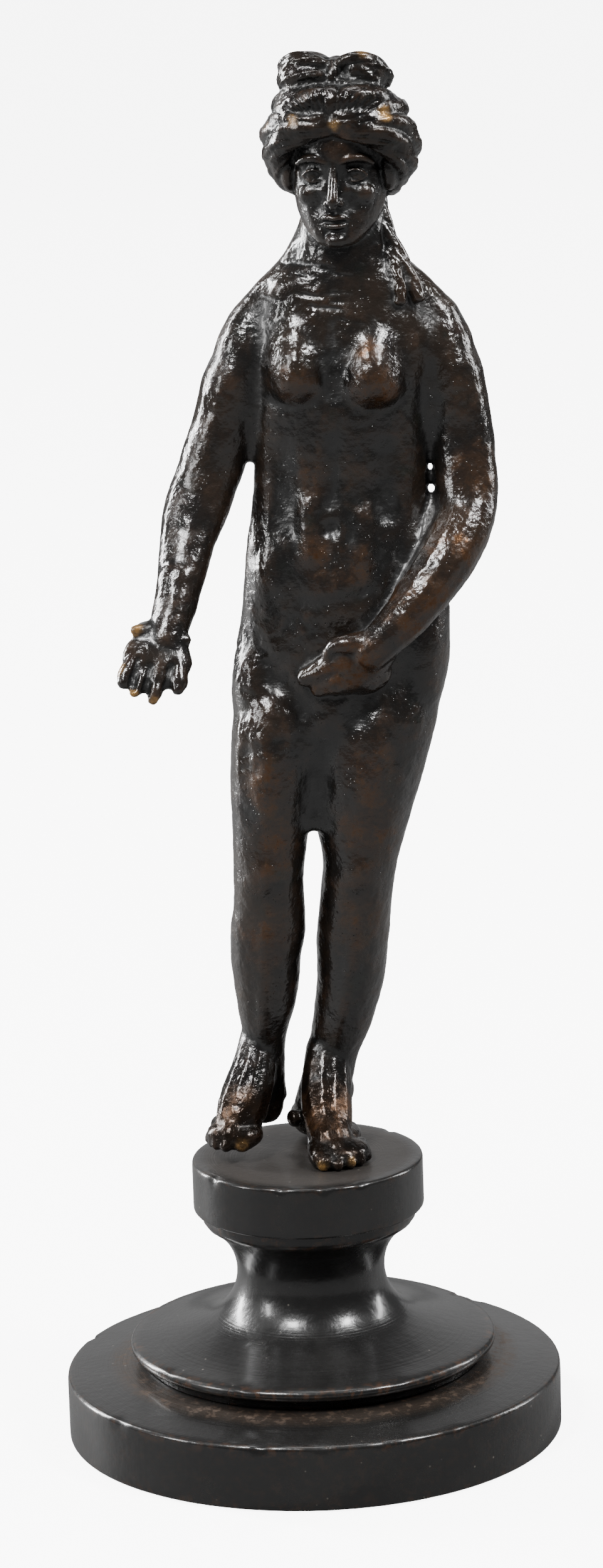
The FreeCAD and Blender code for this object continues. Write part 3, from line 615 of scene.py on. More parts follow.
def workBack(clay):
    back = 1
    clay.stroke([(8.9, 170), (8.7, 158), (8.1, 146), (7.6, 134), (7.2, 123)], 3.0, -1.3, back)   # spine
    clay.stroke([(5.4, 163), (4.4, 157), (3.0, 151)], 1.9, -0.5, back)
    clay.stroke([(12.6, 163), (13.6, 157), (15.0, 151)], 1.9, -0.5, back)
    clay.stroke([(-3.6, 151.0), (0.6, 149.4), (3.6, 151.0)], 1.8, -0.35, back)
    clay.stroke([(14.4, 151.0), (17.4, 149.4), (20.4, 151.0)], 1.8, -0.35, back)
    clay.stroke([(3.6, 123.0)], 2.0, -0.5, back)                                  # dimples
    clay.stroke([(10.8, 123.4)], 2.0, -0.5, back)
    clay.stroke([(7.1, 120.4), (6.7, 113), (6.3, 106), (5.6, 102.2)], 2.6, -1.9, back)           # cleft
    clay.stroke([(-5.6, 104.6), (-1.6, 102.4), (2.2, 102.2), (5.0, 103.6)], 2.4, -0.7, back)
    clay.stroke([(7.6, 103.8), (11.6, 103.0), (15.2, 103.8), (18.2, 106.2)], 2.4, -0.7, back)
    clay.stroke([(-4.8, 84.6)], 3.2, -0.7, back)                                  # backs of the knees
    clay.stroke([(8.6, 84.4)], 3.4, -0.7, back)
    clay.stroke([(-4.8, 74), (-5.0, 66)], 2.0, -0.4, back)
    clay.stroke([(7.6, 74), (6.9, 66)], 2.0, -0.4, back)


body = roughBody()
clay = Clay(body)
workFront(clay)
workBack(clay)
clay.refresh()
relax(body, 8)
print("trunk and legs worked", len(body.data.vertices))

limbs = [levelLimb("rightArm", rightArmRings), levelLimb("leftArm", leftArmRings)]
limbs += [rope(name, route) for name, route in armRopes.items()]
body = joinAll("bronzeFigure", [body] + limbs)
remeshed(body, figureSizes["armVoxel"])
blendSeams(body, armSeams, 50, hold=0.15)
relax(body, 14)
print("arms laid on", len(body.data.vertices))

small = [mass(name, *sizes) for name, sizes in {**footMasses, **handMasses}.items()]
small += [rope(name, route) for name, route in {**footRopes, **handRopes}.items()]
body = joinAll("bronzeFigure", [body] + small)
remeshed(body, figureSizes["fineVoxel"])
blendSeams(body, smallSeams, 40, hold=0.25)
blendSeams(body, wornPlaces, 10, hold=0.35)
relax(body, 4)
print("hands and feet laid on", len(body.data.vertices))


# the head in its own millimetres: eye line at 0, facing -Y, even about x 0
headSizes = {
    "place": (8.95, 1.2, 183.2),
    "turn": -9.0,            # degrees, towards her right
    "coreVoxel": 0.3,
    "strandSpread": 0.36,     # how far a lock's strands lie from its middle, in its radius
    "strandRadius": 0.78,
    "combDepth": 0.08,
}

headRings = [
    (-9.9, -1.9, 1.9, -6.4, -3.0), (-9.3, -3.1, 3.1, -7.1, -0.5), (-8.2, -4.2, 4.2, -7.2, 1.5),
    (-6.6, -5.3, 5.3, -7.0, 3.6), (-4.6, -6.1, 6.1, -6.9, 5.4), (-2.6, -6.5, 6.5, -6.9, 6.8),
    (-0.2, -7.0, 7.0, -6.8, 8.0), (2.4, -7.1, 7.1, -7.3, 8.6), (5.0, -6.9, 6.9, -7.2, 8.8),
    (7.5, -6.1, 6.1, -6.2, 8.4), (9.6, -4.9, 4.9, -4.2, 7.0), (10.8, -3.0, 3.0, -2.0, 5.0),
]

faceMiddle = {
    "noseBridge": [(0, -6.5, 1.8, 0.7), (0, -6.9, 0.2, 0.62), (0, -7.6, -1.7, 0.72), (0, -8.3, -3.2, 0.88),
                   (0, -8.3, -3.7, 0.8)],
    "upperLip": [(-2.1, -6.3, -6.05, 0.22), (-0.9, -7.0, -5.72, 0.42), (0, -7.15, -5.85, 0.42),
                 (0.9, -7.0, -5.72, 0.42), (2.1, -6.3, -6.05, 0.22)],
    "lowerLip": [(-1.7, -6.4, -6.6, 0.25), (-0.7, -6.95, -6.9, 0.48), (0.7, -6.95, -6.9, 0.48),
                 (1.7, -6.4, -6.6, 0.25)],
}

facePairs = {
    "upperLid": [(1.5, -5.75, -0.15, 0.2), (2.1, -6.15, 0.5, 0.3), (2.95, -6.25, 0.75, 0.32),
                 (3.8, -5.9, 0.45, 0.3), (4.5, -5.15, -0.15, 0.2)],
    "lowerLid": [(1.5, -5.75, -0.15, 0.18), (2.2, -6.0, -0.65, 0.22), (3.0, -6.0, -0.85, 0.24),
                 (3.8, -5.65, -0.6, 0.22), (4.5, -5.15, -0.15, 0.18)],
    "brow": [(0.9, -6.7, 1.9, 0.5), (2.3, -6.8, 2.4, 0.6), (3.9, -6.1, 2.4, 0.55), (5.2, -4.8, 1.6, 0.4)],
}

facePairMasses = {
    "eyeball": ((2.95, -4.95, -0.05), (1.3, 1.25, 1.05)),
    "noseWing": ((0.85, -7.3, -3.75), (0.6, 0.8, 0.55)),
    "cheek": ((3.5, -4.4, -2.6), (1.9, 1.7, 1.7)),
}

# locks laid from the parting over the ears to the nape, mirrored: x, y, z, radius
sideLocks = {
    "highLock": [(0.6, -7.0, 8.4, 1.0), (3.4, -7.0, 7.9, 1.4), (6.6, -4.9, 7.4, 1.7), (8.8, -1.6, 5.9, 1.8),
                 (9.5, 1.8, 3.8, 1.7), (8.7, 4.6, 1.3, 1.5), (6.4, 7.2, -0.6, 1.3)],
    "middleLock": [(0.5, -7.3, 7.2, 1.0), (3.0, -7.4, 6.9, 1.3), (6.2, -5.9, 6.0, 1.6), (8.5, -2.8, 3.6, 1.65),
                   (9.2, 0.4, 1.3, 1.6), (8.2, 3.2, -0.9, 1.4), (6.2, 6.0, -2.4, 1.2)],
    "lowLock": [(0.6, -7.3, 6.3, 0.8), (2.8, -7.3, 5.8, 1.0), (5.5, -6.2, 5.0, 1.25), (7.6, -3.9, 3.2, 1.4),
                (8.2, -1.2, 0.4, 1.4), (7.5, 1.6, -2.0, 1.2), (6.0, 4.4, -3.2, 1.0)],
}

crownLocks = {
    "diademRight": [(0.2, -5.9, 10.1, 2.1), (-3.2, -5.5, 10.0, 2.4), (-6.1, -3.5, 9.3, 2.3), (-7.6, 0.5, 8.2, 2.0),
                    (-7.2, 4.5, 6.6, 1.6)],
    "diademLeft": [(-0.2, -5.9, 10.1, 2.1), (3.2, -5.5, 10.0, 2.4), (6.1, -3.5, 9.3, 2.3), (7.6, 0.5, 8.2, 2.0),
                   (7.2, 4.5, 6.6, 1.6)],
    "knotRightTop": [(-0.5, -4.0, 14.4, 0.9), (-2.9, -4.3, 15.5, 1.1), (-5.6, -3.2, 15.6, 1.1),
                     (-7.4, -0.8, 14.2, 1.0), (-6.8, 2.0, 12.8, 0.9)],
    "knotRightMiddle": [(-0.4, -4.6, 13.0, 0.9), (-3.0, -4.9, 13.7, 1.15), (-5.9, -3.8, 13.4, 1.15),
                        (-7.5, -1.4, 12.4, 1.0), (-6.6, 1.6, 11.4, 0.9)],
    "knotRightLow": [(-0.8, -4.8, 12.2, 0.7), (-3.2, -5.0, 12.2, 0.9), (-5.8, -4.0, 11.8, 0.9)],
    "knotLeftTop": [(0.3, -4.0, 14.6, 0.9), (1.9, -4.2, 15.6, 1.0), (4.3, -3.6, 15.5, 1.1), (6.2, -2.4, 14.4, 1.05),
                    (7.0, -0.6, 12.8, 0.95), (6.2, 2.0, 11.8, 0.9)],
    "knotLeftLow": [(0.5, -4.7, 12.8, 0.8), (1.8, -5.0, 12.1, 0.9), (4.2, -4.8, 11.9, 1.0), (6.4, -3.2, 11.4, 1.0)],
    "knotLeftInner": [(3.0, -4.5, 14.4, 0.8), (4.8, -4.2, 13.5, 0.95), (5.6, -3.6, 12.4, 0.9)],
    "knotStrap": [(0.0, -5.0, 11.6, 0.8), (-0.1, -5.2, 13.0, 0.95), (0.1, -4.2, 14.8, 0.9), (0.2, -1.0, 15.4, 0.9)],
    "napeTwistRight": [(-5.0, 7.0, -1.0, 1.4), (-2.6, 9.6, 1.8, 1.6), (1.2, 11.0, 2.2, 1.5), (3.6, 10.2, 0.2, 1.3)],
    "napeTwistLeft": [(5.0, 7.0, -2.2, 1.4), (2.4, 10.0, -3.0, 1.6), (-1.4, 11.0, -1.8, 1.5), (-3.6, 9.8, 0.4, 1.3)],
}

hairMasses = {
    "cap": ((0, 1.8, 4.6), (8.2, 8.4, 8.2)),
    "knotRight": ((-4.0, -1.6, 13.8), (4.1, 3.8, 2.9)),
    "knotLeft": ((3.5, -1.4, 13.5), (3.9, 3.8, 2.9)),
    "diadem": ((0, -2.4, 9.6), (7.6, 5.0, 3.6)),
    "frontHair": ((0, -1.6, 7.0), (8.6, 6.4, 3.6)),
    "napeKnot": ((0, 8.8, -0.4), (4.2, 3.0, 3.4)),
    "behindEars": ((0, 2.6, 0.4), (8.3, 5.4, 4.6)),
    "templeRight": ((-7.0, -0.8, 0.8), (1.5, 2.8, 3.6)),
    "templeLeft": ((7.0, -0.8, 0.8), (1.5, 2.8, 3.6)),
}

# two tresses that fall over her left shoulder, in the body's own millimetres
tresses = {
    "longTress": [(13.6, 4.6, 181.0, 1.3), (14.2, 2.8, 177.4, 1.35), (15.2, 1.4, 173.8, 1.3), (16.8, 0.6, 170.6, 1.2),
                  (18.5, -0.4, 167.4, 1.1), (19.6, -1.2, 164.4, 0.8)],
    "shortTress": [(15.4, 0.4, 171.6, 0.9), (16.3, -0.9, 169.0, 0.95), (16.7, -1.8, 166.6, 0.9), (16.7, -2.3, 164.4, 0.6)],
}


hairPlaces = [(9.0, 0.0, 195.0, 12.5), (-0.5, 2.0, 186.5, 4.5), (18.5, 2.0, 186.5, 4.5)]


def mirrored(rows):
    return [(-row[0], *row[1:]) for row in rows]


def aroundRoute(rows, angle, share, twist=0.0):   # a line that winds round a route, and its radius
    table = np.array(curvedRows(rows, 3))
    ahead = np.gradient(table[:, :3], axis=0)
    ahead /= np.linalg.norm(ahead, axis=1)[:, None]
    side = np.cross(ahead, (0, 0, 1.0))
    side /= np.maximum(np.linalg.norm(side, axis=1), 1e-6)[:, None]
    lift = np.cross(side, ahead)
    turn = angle + twist * 2 * math.pi * np.linspace(0, 1, len(table))
    offset = np.cos(turn)[:, None] * side + np.sin(turn)[:, None] * lift
    return table[:, :3] + offset * table[:, 3:] * share, table[:, 3]


def lock(name, rows, strands=3, twist=1.0):   # strands of clay laid round each other
    pieces = []
    for number in range(strands):
        middle, radius = aroundRoute(rows, 2 * math.pi * number / strands, headSizes["strandSpread"], twist)
        route = [(*place, r * headSizes["strandRadius"]) for place, r in zip(middle[::2], radius[::2])]
        pieces.append(rope(name + "Strand" + str(number), route, steps=2))
    return joinAll(name, pieces)


def headCore():
    core = levelLimb("head", headRings)
    remeshed(core, headSizes["coreVoxel"])
    relax(core, 30, hold=0.51)
    clay = Clay(core)
    for side in (-1, 1):
        clay.stroke([(side * 2.9, 0.2)], 2.5, -0.8, facing=-1)                    # eye sockets
        clay.stroke([(side * 5.4, 3.4), (side * 5.8, 0.4)], 2.0, -0.4, facing=-1)  # temples
        clay.stroke([(side * 1.6, -2.2), (side * 2.6, -5.2)], 1.4, -0.3, facing=-1)
    clay.stroke([(-1.8, -7.75), (1.8, -7.75)], 1.1, -0.45, facing=-1)             # under the lip
    clay.stroke([(-1.2, -9.0), (1.2, -9.0)], 1.8, 0.35, facing=-1)                # chin
    clay.refresh()
    relax(core, 4)
    return core


def buildHead():
    pieces = [headCore()]
    pieces += [rope(name, rows) for name, rows in faceMiddle.items()]
    for side, word in ((-1, "Right"), (1, "Left")):
        for name, rows in facePairs.items():
            pieces.append(rope(name + word, rows if side > 0 else mirrored(rows)))
        for name, (centre, half) in facePairMasses.items():
            pieces.append(mass(name + word, (side * centre[0], *centre[1:]), half))
        for name, rows in sideLocks.items():
            pieces.append(lock(name + word, rows if side > 0 else mirrored(rows), 3, side * 0.9))
    pieces += [lock(name, rows, 3, 0.5) for name, rows in crownLocks.items()]
    pieces += [mass(name, *sizes) for name, sizes in hairMasses.items()]
    head = joinAll("head", pieces)
    head.rotation_euler = (0, 0, math.radians(headSizes["turn"]))
    head.location = headSizes["place"]
    return head


head = buildHead()
body = joinAll("bronzeFigure", [body, head] + [lock(name, rows, 3, 1.2) for name, rows in tresses.items()])
remeshed(body, figureSizes["fineVoxel"])
blendSeams(body, hairPlaces, 14, hold=0.38)
relax(body, 2)
print("head and hair laid on", len(body.data.vertices))


surfaceSizes = {
    "headFrom": 171.0,       # height above which the skin is made finer
    "combRadius": 0.34,
    "unevenScale": 4.5,      # broad hammer-like unevenness of the casting
    "unevenHeight": 0.62,
    "grainScale": 1.3,
    "grainHeight": 0.34,
    "bodyKeep": 0.29,        # share of the triangles kept
    "headKeep": 0.21,
}

# where the casting came out rough: x, y, z, radius, how rough
roughPlaces = [(-5.0, -2.0, 114.0, 9.0, 1.0), (3.0, -5.0, 118.0, 7.0, 0.9), (-4.0, -4.0, 102.0, 8.0, 0.8),
               (5.0, -5.0, 104.0, 6.0, 0.6), (2.0, -5.0, 163.0, 8.0, 0.8), (10.0, -6.0, 157.0, 6.0, 0.5),
               (8.0, -5.0, 138.0, 9.0, 0.5), (14.0, -5.0, 126.0, 6.0, 0.7), (-8.0, 0.0, 150.0, 7.0, 0.5),
               (26.0, -1.0, 150.0, 8.0, 0.4), (-9.0, 0.0, 47.0, 6.0, 0.6), (3.0, -3.0, 44.0, 6.0, 0.6)]


def inHeadPlace(clay):   # lets the strokes that follow use the head's own millimetres
    angle = math.radians(headSizes["turn"])
    turn = np.array([[math.cos(angle), -math.sin(angle), 0], [math.sin(angle), math.cos(angle), 0], [0, 0, 1]])
    clay.points = (clay.points - headSizes["place"]) @ turn
    clay.normals = clay.normals @ turn
    return turn


def outOfHeadPlace(clay, turn):
    clay.points = clay.points @ turn.T + headSizes["place"]
    clay.refresh()


def refineHead(piece):
    points = pointsOf(piece)
    low = surfaceSizes["headFrom"]
    chosen = [polygon.index for polygon in piece.data.polygons
              if points[polygon.vertices[0]][2] > low and points[polygon.vertices[2]][2] > low]
    piece.data.polygons.foreach_set("select", np.zeros(len(piece.data.polygons), bool))
    piece.data.vertices.foreach_set("select", np.zeros(len(piece.data.vertices), bool))
    piece.data.edges.foreach_set("select", np.zeros(len(piece.data.edges), bool))
    for index in chosen:
        piece.data.polygons[index].select = True
    chooseOnly(piece)
    bpy.ops.object.mode_set(mode="EDIT")
    bpy.ops.mesh.select_mode(type="FACE")
    bpy.ops.mesh.subdivide(number_cuts=1)
    bpy.ops.object.mode_set(mode="OBJECT")


def combHair(clay):
    depth, radius = headSizes["combDepth"], surfaceSizes["combRadius"]
    routes = []
    for rows in sideLocks.values():
        routes += [(rows, 0.9), (mirrored(rows), -0.9)]
    routes += [(rows, 0.5) for rows in crownLocks.values()]
    for rows, twist in routes:
        for number in range(9):
            line, _ = aroundRoute(rows, number * 2 * math.pi / 9, 1.02, twist)
            clay.stroke([tuple(place) for place in line[::2]], radius, -depth)
    for number in range(17):   # over the crown to the nape
        x = -7.6 + 0.95 * number
        line = []
        for y in (-3.0, 0.0, 3.0, 6.0, 8.5):
            across = x * (1 - 0.05 * max(y, 0))
            rise = 1 - (across / 8.2) ** 2 - ((y - 1.8) / 8.4) ** 2
            line.append((across, y, 4.6 + 8.2 * math.sqrt(max(rise, 0.0))))
        clay.stroke(line, 0.42, -0.22)
    for side in (-1, 1):       # the front roll, fanned out from the parting
        for number in range(7):
            start, end = side * (0.6 + 0.5 * number), side * (1.2 + 1.1 * number)
            clay.stroke([(start, 8.6 - 0.1 * number), (end, 12.4 - 0.35 * number)], 0.36, -0.15, facing=-1)


def finishFace(clay):
    clay.stroke([(-1.9, -6.28), (-0.9, -6.32), (0, -6.38), (0.9, -6.32), (1.9, -6.28)], 0.34, -0.22, facing=-1)
    clay.stroke([(0, -4.75), (0, -5.4)], 0.4, -0.14, facing=-1)
    for side in (-1, 1):
        clay.stroke([(side * 0.62, -4.1)], 0.4, -0.3, facing=-1, taper=False)
        clay.stroke([(side * 1.75, -0.1), (side * 2.3, 0.42), (side * 3.0, 0.55), (side * 3.8, 0.3),
                     (side * 4.3, -0.1)], 0.24, -0.14, facing=-1)
        clay.stroke([(side * 1.9, 1.25), (side * 3.0, 1.55), (side * 4.2, 1.2)], 0.5, -0.25, facing=-1)


def fileMarks(clay, seed=5):   # the chaser's file left short scratches across the chest and neck
    chance = np.random.default_rng(seed)
    for _ in range(16):
        x, z = chance.uniform(-3.5, 9.0), chance.uniform(163.0, 171.0)
        length = chance.uniform(2.0, 6.0)
        clay.stroke([(x, z), (x + length, z - 0.12 * length + chance.uniform(-0.3, 0.3))], 0.4, -0.13, facing=-1)


def workHands(clay):
    clay.stroke([(0.6, 112.4), (4.0, 113.0), (7.4, 114.4)], 0.7, -0.14, facing=-1)      # between her left fingers
    clay.stroke([(2.6, 110.8), (5.4, 111.6), (8.4, 112.8)], 0.7, -0.14, facing=-1)
    clay.stroke([(5.0, 110.2), (7.4, 110.8), (9.8, 111.6)], 0.6, -0.12, facing=-1)
    for x, z in ((-22.4, 114.4), (-20.6, 113.4), (-17.8, 113.2)):                       # her right hand's flutes
        clay.stroke([(x, z - 1.0), (x + 0.6, z + 1.8), (x + 1.3, z + 4.2)], 0.8, -0.5, facing=-1)


def softFolds(clay):   # what the rubbing took from the groin and between the thighs
    front = -1
    clay.stroke([(4.6, 104.0), (3.6, 99.0), (2.8, 95.0), (2.4, 91.0)], 2.5, -0.45, front)
    clay.stroke([(-5.4, 116.0), (-1.6, 111.0), (3.0, 106.0)], 2.8, -0.22, front)
    clay.stroke([(14.0, 112.4), (10.6, 108.6), (7.0, 105.2)], 2.8, -0.18, front)
    clay.stroke([(-3.6, 110.0), (-4.2, 104.0), (-4.0, 97.0)], 1.6, 0.3, front)
    clay.stroke([(-6.6, 110.0), (-7.0, 103.0), (-6.8, 96.0)], 1.4, -0.25, front)


def roughen(piece):   # the skin of a small lost-wax casting
    points = pointsOf(piece)
    share = np.full(len(points), 0.42)
    for x, y, z, radius, amount in roughPlaces:
        gap = np.linalg.norm(points - (x, y, z), axis=1) / radius
        share = np.maximum(share, 0.42 + 0.58 * amount * np.clip(1.5 * (1 - gap), 0, 1))
    share[points[:, 2] > 173.0] *= 0.5
    group = piece.vertex_groups.new(name="roughCast")
    steps = np.round(share * 20).astype(int)
    for step in np.unique(steps):
        group.add(np.where(steps == step)[0].tolist(), step / 20, "REPLACE")
    for name, scale, height in (("uneven", surfaceSizes["unevenScale"], surfaceSizes["unevenHeight"]),
                                ("grain", surfaceSizes["grainScale"], surfaceSizes["grainHeight"])):
        pattern = bpy.data.textures.new(name, "CLOUDS")
        pattern.noise_scale = scale
        pattern.noise_depth = 2
        chooseOnly(piece)
        modifier = piece.modifiers.new(name, "DISPLACE")
        modifier.texture = pattern
        modifier.texture_coords = "LOCAL"
        modifier.strength = height
        modifier.mid_level = 0.5
        modifier.vertex_group = group.name
        bpy.ops.object.modifier_apply(modifier=modifier.name)
    piece.vertex_groups.clear()


def thinOut(piece):   # fewer triangles: the body keeps less of them than the head
    for above, keep in ((True, surfaceSizes["headKeep"]), (False, surfaceSizes["bodyKeep"])):
        heights = np.zeros(len(piece.data.polygons) * 3, np.float32)
        piece.data.polygons.foreach_get("center", heights)
        tall = heights.reshape(-1, 3)[:, 2] > surfaceSizes["headFrom"] + 1.0
        chooseOnly(piece)
        bpy.ops.object.mode_set(mode="EDIT")
        bpy.ops.mesh.select_mode(type="FACE")
        bpy.ops.mesh.select_all(action="DESELECT")
        bpy.ops.object.mode_set(mode="OBJECT")
        piece.data.polygons.foreach_set("select", tall if above else ~tall)
        bpy.ops.object.mode_set(mode="EDIT")
        bpy.ops.mesh.decimate(ratio=keep)
        bpy.ops.object.mode_set(mode="OBJECT")


refineHead(body)
relax(body, 2)
clay = Clay(body)
turn = inHeadPlace(clay)
combHair(clay)
finishFace(clay)
outOfHeadPlace(clay, turn)
fileMarks(clay)
workHands(clay)
softFolds(clay)
clay.refresh()
print("hair combed and face finished", len(body.data.vertices))
roughen(body)
thinOut(body)
print("skin roughened and thinned out", len(body.data.polygons), "faces")


wearSizes = {
    "highRounds": 16,        # how broad a high place or a hollow is
    "highFull": 0.16,        # millimetres a point stands out where the wear is full
    "hollowFull": 0.14,
}

# rubbed to brown metal: x, y, z, radius, how much
brownPlaces = [(1.4, -7.5, 153.6, 4.6, 1.0), (13.2, -7.5, 152.8, 4.8, 1.0), (4.0, -6.0, 141.0, 4.0, 0.6),
               (3.6, -6.0, 130.0, 3.6, 0.9), (9.0, -7.0, 128.6, 4.0, 0.6), (24.0, -5.0, 131.0, 6.0, 1.0),
               (18.0, -9.0, 123.0, 6.0, 0.9), (9.6, -10.0, 114.5, 6.0, 1.0), (4.0, -9.0, 112.5, 4.0, 0.8),
               (-4.0, -6.0, 98.0, 5.0, 0.6), (-3.0, -5.0, 88.0, 5.0, 0.7), (10.0, -6.0, 100.0, 5.0, 0.5),
               (11.0, -5.0, 90.0, 6.0, 0.6), (9.0, -5.0, 76.0, 6.0, 0.5), (-5.0, -4.0, 74.0, 6.0, 0.5),
               (3.4, -1.0, 47.0, 6.0, 1.0), (-10.0, 0.0, 48.0, 5.0, 0.7), (-5.0, -4.0, 66.0, 4.0, 0.4), (9.0, -8.0, 188.0, 4.0, 0.3),
               (27.0, -2.0, 141.0, 5.0, 0.7), (12.0, -5.0, 158.5, 2.4, 0.8)]

# worn through to bright metal: x, y, z, radius, how much
brightPlaces = [(-21.6, -9.8, 121.4, 1.3, 0.9), (-24.0, -13.0, 116.4, 1.3, 0.8), (-22.2, -14.6, 113.2, 1.1, 0.8),
                (-19.3, -14.6, 112.0, 1.1, 0.8), (15.2, -6.0, 191.6, 1.5, 1.0), (2.3, -6.0, 191.2, 1.3, 0.6),
                (8.2, -7.0, 190.4, 1.1, 0.7), (2.0, -9.0, 42.0, 1.3, 0.8), (-9.4, -4.6, 44.2, 1.5, 0.5),
                (6.6, -8.6, 42.6, 1.4, 0.5), (12.2, -3.0, 199.6, 1.4, 0.6), (-8.4, 1.0, 49.0, 1.1, 0.6),
                (-24.0, -11.4, 119.0, 1.2, 0.6), (6.6, -8.8, 175.2, 0.9, 0.5), (-1.6, -1.0, 190.0, 1.2, 0.5)]


def nearPlaces(points, places):
    found = np.zeros(len(points))
    for x, y, z, radius, amount in places:
        gap = np.linalg.norm(points - (x, y, z), axis=1) / radius
        found = np.maximum(found, amount * np.clip(1 - gap ** 2, 0, 1))
    return found


def paintAttribute(piece, name, values):
    layer = piece.data.attributes.new(name, "FLOAT", "POINT")
    layer.data.foreach_set("value", np.clip(values, 0, 1).astype(np.float32))


def markRelief(piece, rounds, highFull, hollowFull):   # high places and hollows, as attributes
    points, edges, normals = pointsOf(piece), edgesOf(piece), normalsOf(piece)
    smooth = points.copy()
    for _ in range(rounds):
        smooth += 0.6 * (averaged(smooth, edges, len(points)) - smooth)
    rise = ((points - smooth) * normals).sum(1)
    paintAttribute(piece, "high", rise / highFull)
    paintAttribute(piece, "hollow", -rise / hollowFull)
    return points


def markWear(piece):
    points = markRelief(piece, wearSizes["highRounds"], wearSizes["highFull"], wearSizes["hollowFull"])
    paintAttribute(piece, "brown", nearPlaces(points, brownPlaces))
    paintAttribute(piece, "bright", nearPlaces(points, brightPlaces))


markWear(body)


# shader node groups that several finishes share

def newGroup(name, inputs, outputs):
    group = bpy.data.node_groups.new(name, "ShaderNodeTree")
    for socket, value in inputs.items():
        kind = "NodeSocketVector" if isinstance(value, tuple) else "NodeSocketFloat"
        group.interface.new_socket(name=socket, in_out="INPUT", socket_type=kind).default_value = value
    for socket, kind in outputs.items():
        group.interface.new_socket(name=socket, in_out="OUTPUT", socket_type=kind)
    return group, group.nodes.new("NodeGroupInput"), group.nodes.new("NodeGroupOutput")


def place(tree, kind, **settings):
    node = tree.nodes.new(kind)
    for name, value in settings.items():
        if name in node.inputs:
            node.inputs[name].default_value = value
        else:
            setattr(node, name, value)
    return node


def maths(tree, operation, first, second=None, clamp=False):
    node = tree.nodes.new("ShaderNodeMath")
    node.operation = operation
    node.use_clamp = clamp
    for socket, value in zip(node.inputs, (first, second)):
        if isinstance(value, (int, float)):
            socket.default_value = value
        elif value is not None:
            tree.links.new(value, socket)
    return node.outputs[0]


def ranged(tree, value, low, high, toLow=0.0, toHigh=1.0):
    node = tree.nodes.new("ShaderNodeMapRange")
    node.interpolation_type = "SMOOTHSTEP"
    for socket, number in zip(list(node.inputs)[1:5], (low, high, toLow, toHigh)):
        socket.default_value = number
    tree.links.new(value, node.inputs[0])
    return node.outputs[0]


def mixed(tree, share, first, second):
    node = tree.nodes.new("ShaderNodeMix")
    node.data_type = "RGBA"
    tree.links.new(share, node.inputs[0])
    for socket, value in ((node.inputs[6], first), (node.inputs[7], second)):
        if isinstance(value, tuple):
            socket.default_value = value
        else:
            tree.links.new(value, socket)
    return node.outputs[2]


def makeSpeckle():   # small sharp spots: pits in metal, dust on wood
    group, given, result = newGroup("speckle", {"Vector": (0.0, 0.0, 0.0), "Scale": 900.0, "Size": 0.25},
                                    {"Mask": "NodeSocketFloat"})
    spots = place(group, "ShaderNodeTexVoronoi", feature="F1")
    group.links.new(given.outputs["Vector"], spots.inputs["Vector"])
    group.links.new(given.outputs["Scale"], spots.inputs["Scale"])
    gate = place(group, "ShaderNodeTexNoise", Detail=1.0)
    group.links.new(given.outputs["Vector"], gate.inputs["Vector"])
    group.links.new(maths(group, "MULTIPLY", given.outputs["Scale"], 0.21), gate.inputs["Scale"])
    here = ranged(group, gate.outputs[0], 0.45, 0.62)
    inner = maths(group, "SUBTRACT", given.outputs["Size"], spots.outputs["Distance"])
    spot = maths(group, "MULTIPLY", inner, 6.0, clamp=True)
    group.links.new(maths(group, "MULTIPLY", spot, here), result.inputs["Mask"])
    return group


def makeBlotch():   # soft cloudy patches with a ragged edge
    group, given, result = newGroup("blotch", {"Vector": (0.0, 0.0, 0.0), "Scale": 120.0, "Threshold": 0.5},
                                    {"Mask": "NodeSocketFloat"})
    cloud = place(group, "ShaderNodeTexNoise", Detail=5.0, Roughness=0.62)
    group.links.new(given.outputs["Vector"], cloud.inputs["Vector"])
    group.links.new(given.outputs["Scale"], cloud.inputs["Scale"])
    over = maths(group, "SUBTRACT", cloud.outputs[0], given.outputs["Threshold"])
    group.links.new(maths(group, "MULTIPLY", over, 7.0, clamp=True), result.inputs["Mask"])
    return group


def makeHairlines():   # fine scratches along a direction, set by the Stretch of each axis
    group, given, result = newGroup("hairlines", {"Vector": (0.0, 0.0, 0.0), "Stretch": (400.0, 400.0, 6000.0)},
                                    {"Height": "NodeSocketFloat"})
    wide = place(group, "ShaderNodeVectorMath", operation="MULTIPLY")
    group.links.new(given.outputs["Vector"], wide.inputs[0])
    group.links.new(given.outputs["Stretch"], wide.inputs[1])
    lines = place(group, "ShaderNodeTexNoise", Scale=1.0, Detail=3.0, Roughness=0.7)
    group.links.new(wide.outputs[0], lines.inputs["Vector"])
    group.links.new(lines.outputs[0], result.inputs["Height"])
    return group


speckle, blotch, hairlines = makeSpeckle(), makeBlotch(), makeHairlines()


def newMaterial(name, **shaderValues):
    material = bpy.data.materials.new(name)
    material.use_nodes = True
    tree = material.node_tree
    shader = tree.nodes["Principled BSDF"]
    for socket, value in shaderValues.items():
        shader.inputs[socket].default_value = value
    where = tree.nodes.new("ShaderNodeTexCoord").outputs["Object"]
    return material, tree, shader, where


def useGroup(tree, group, where, **values):
    node = tree.nodes.new("ShaderNodeGroup")
    node.node_tree = group
    tree.links.new(where, node.inputs["Vector"])
    for name, value in values.items():
        node.inputs[name].default_value = value
    return node.outputs[0]


def attribute(tree, name):
    return place(tree, "ShaderNodeAttribute", attribute_name=name).outputs["Fac"]


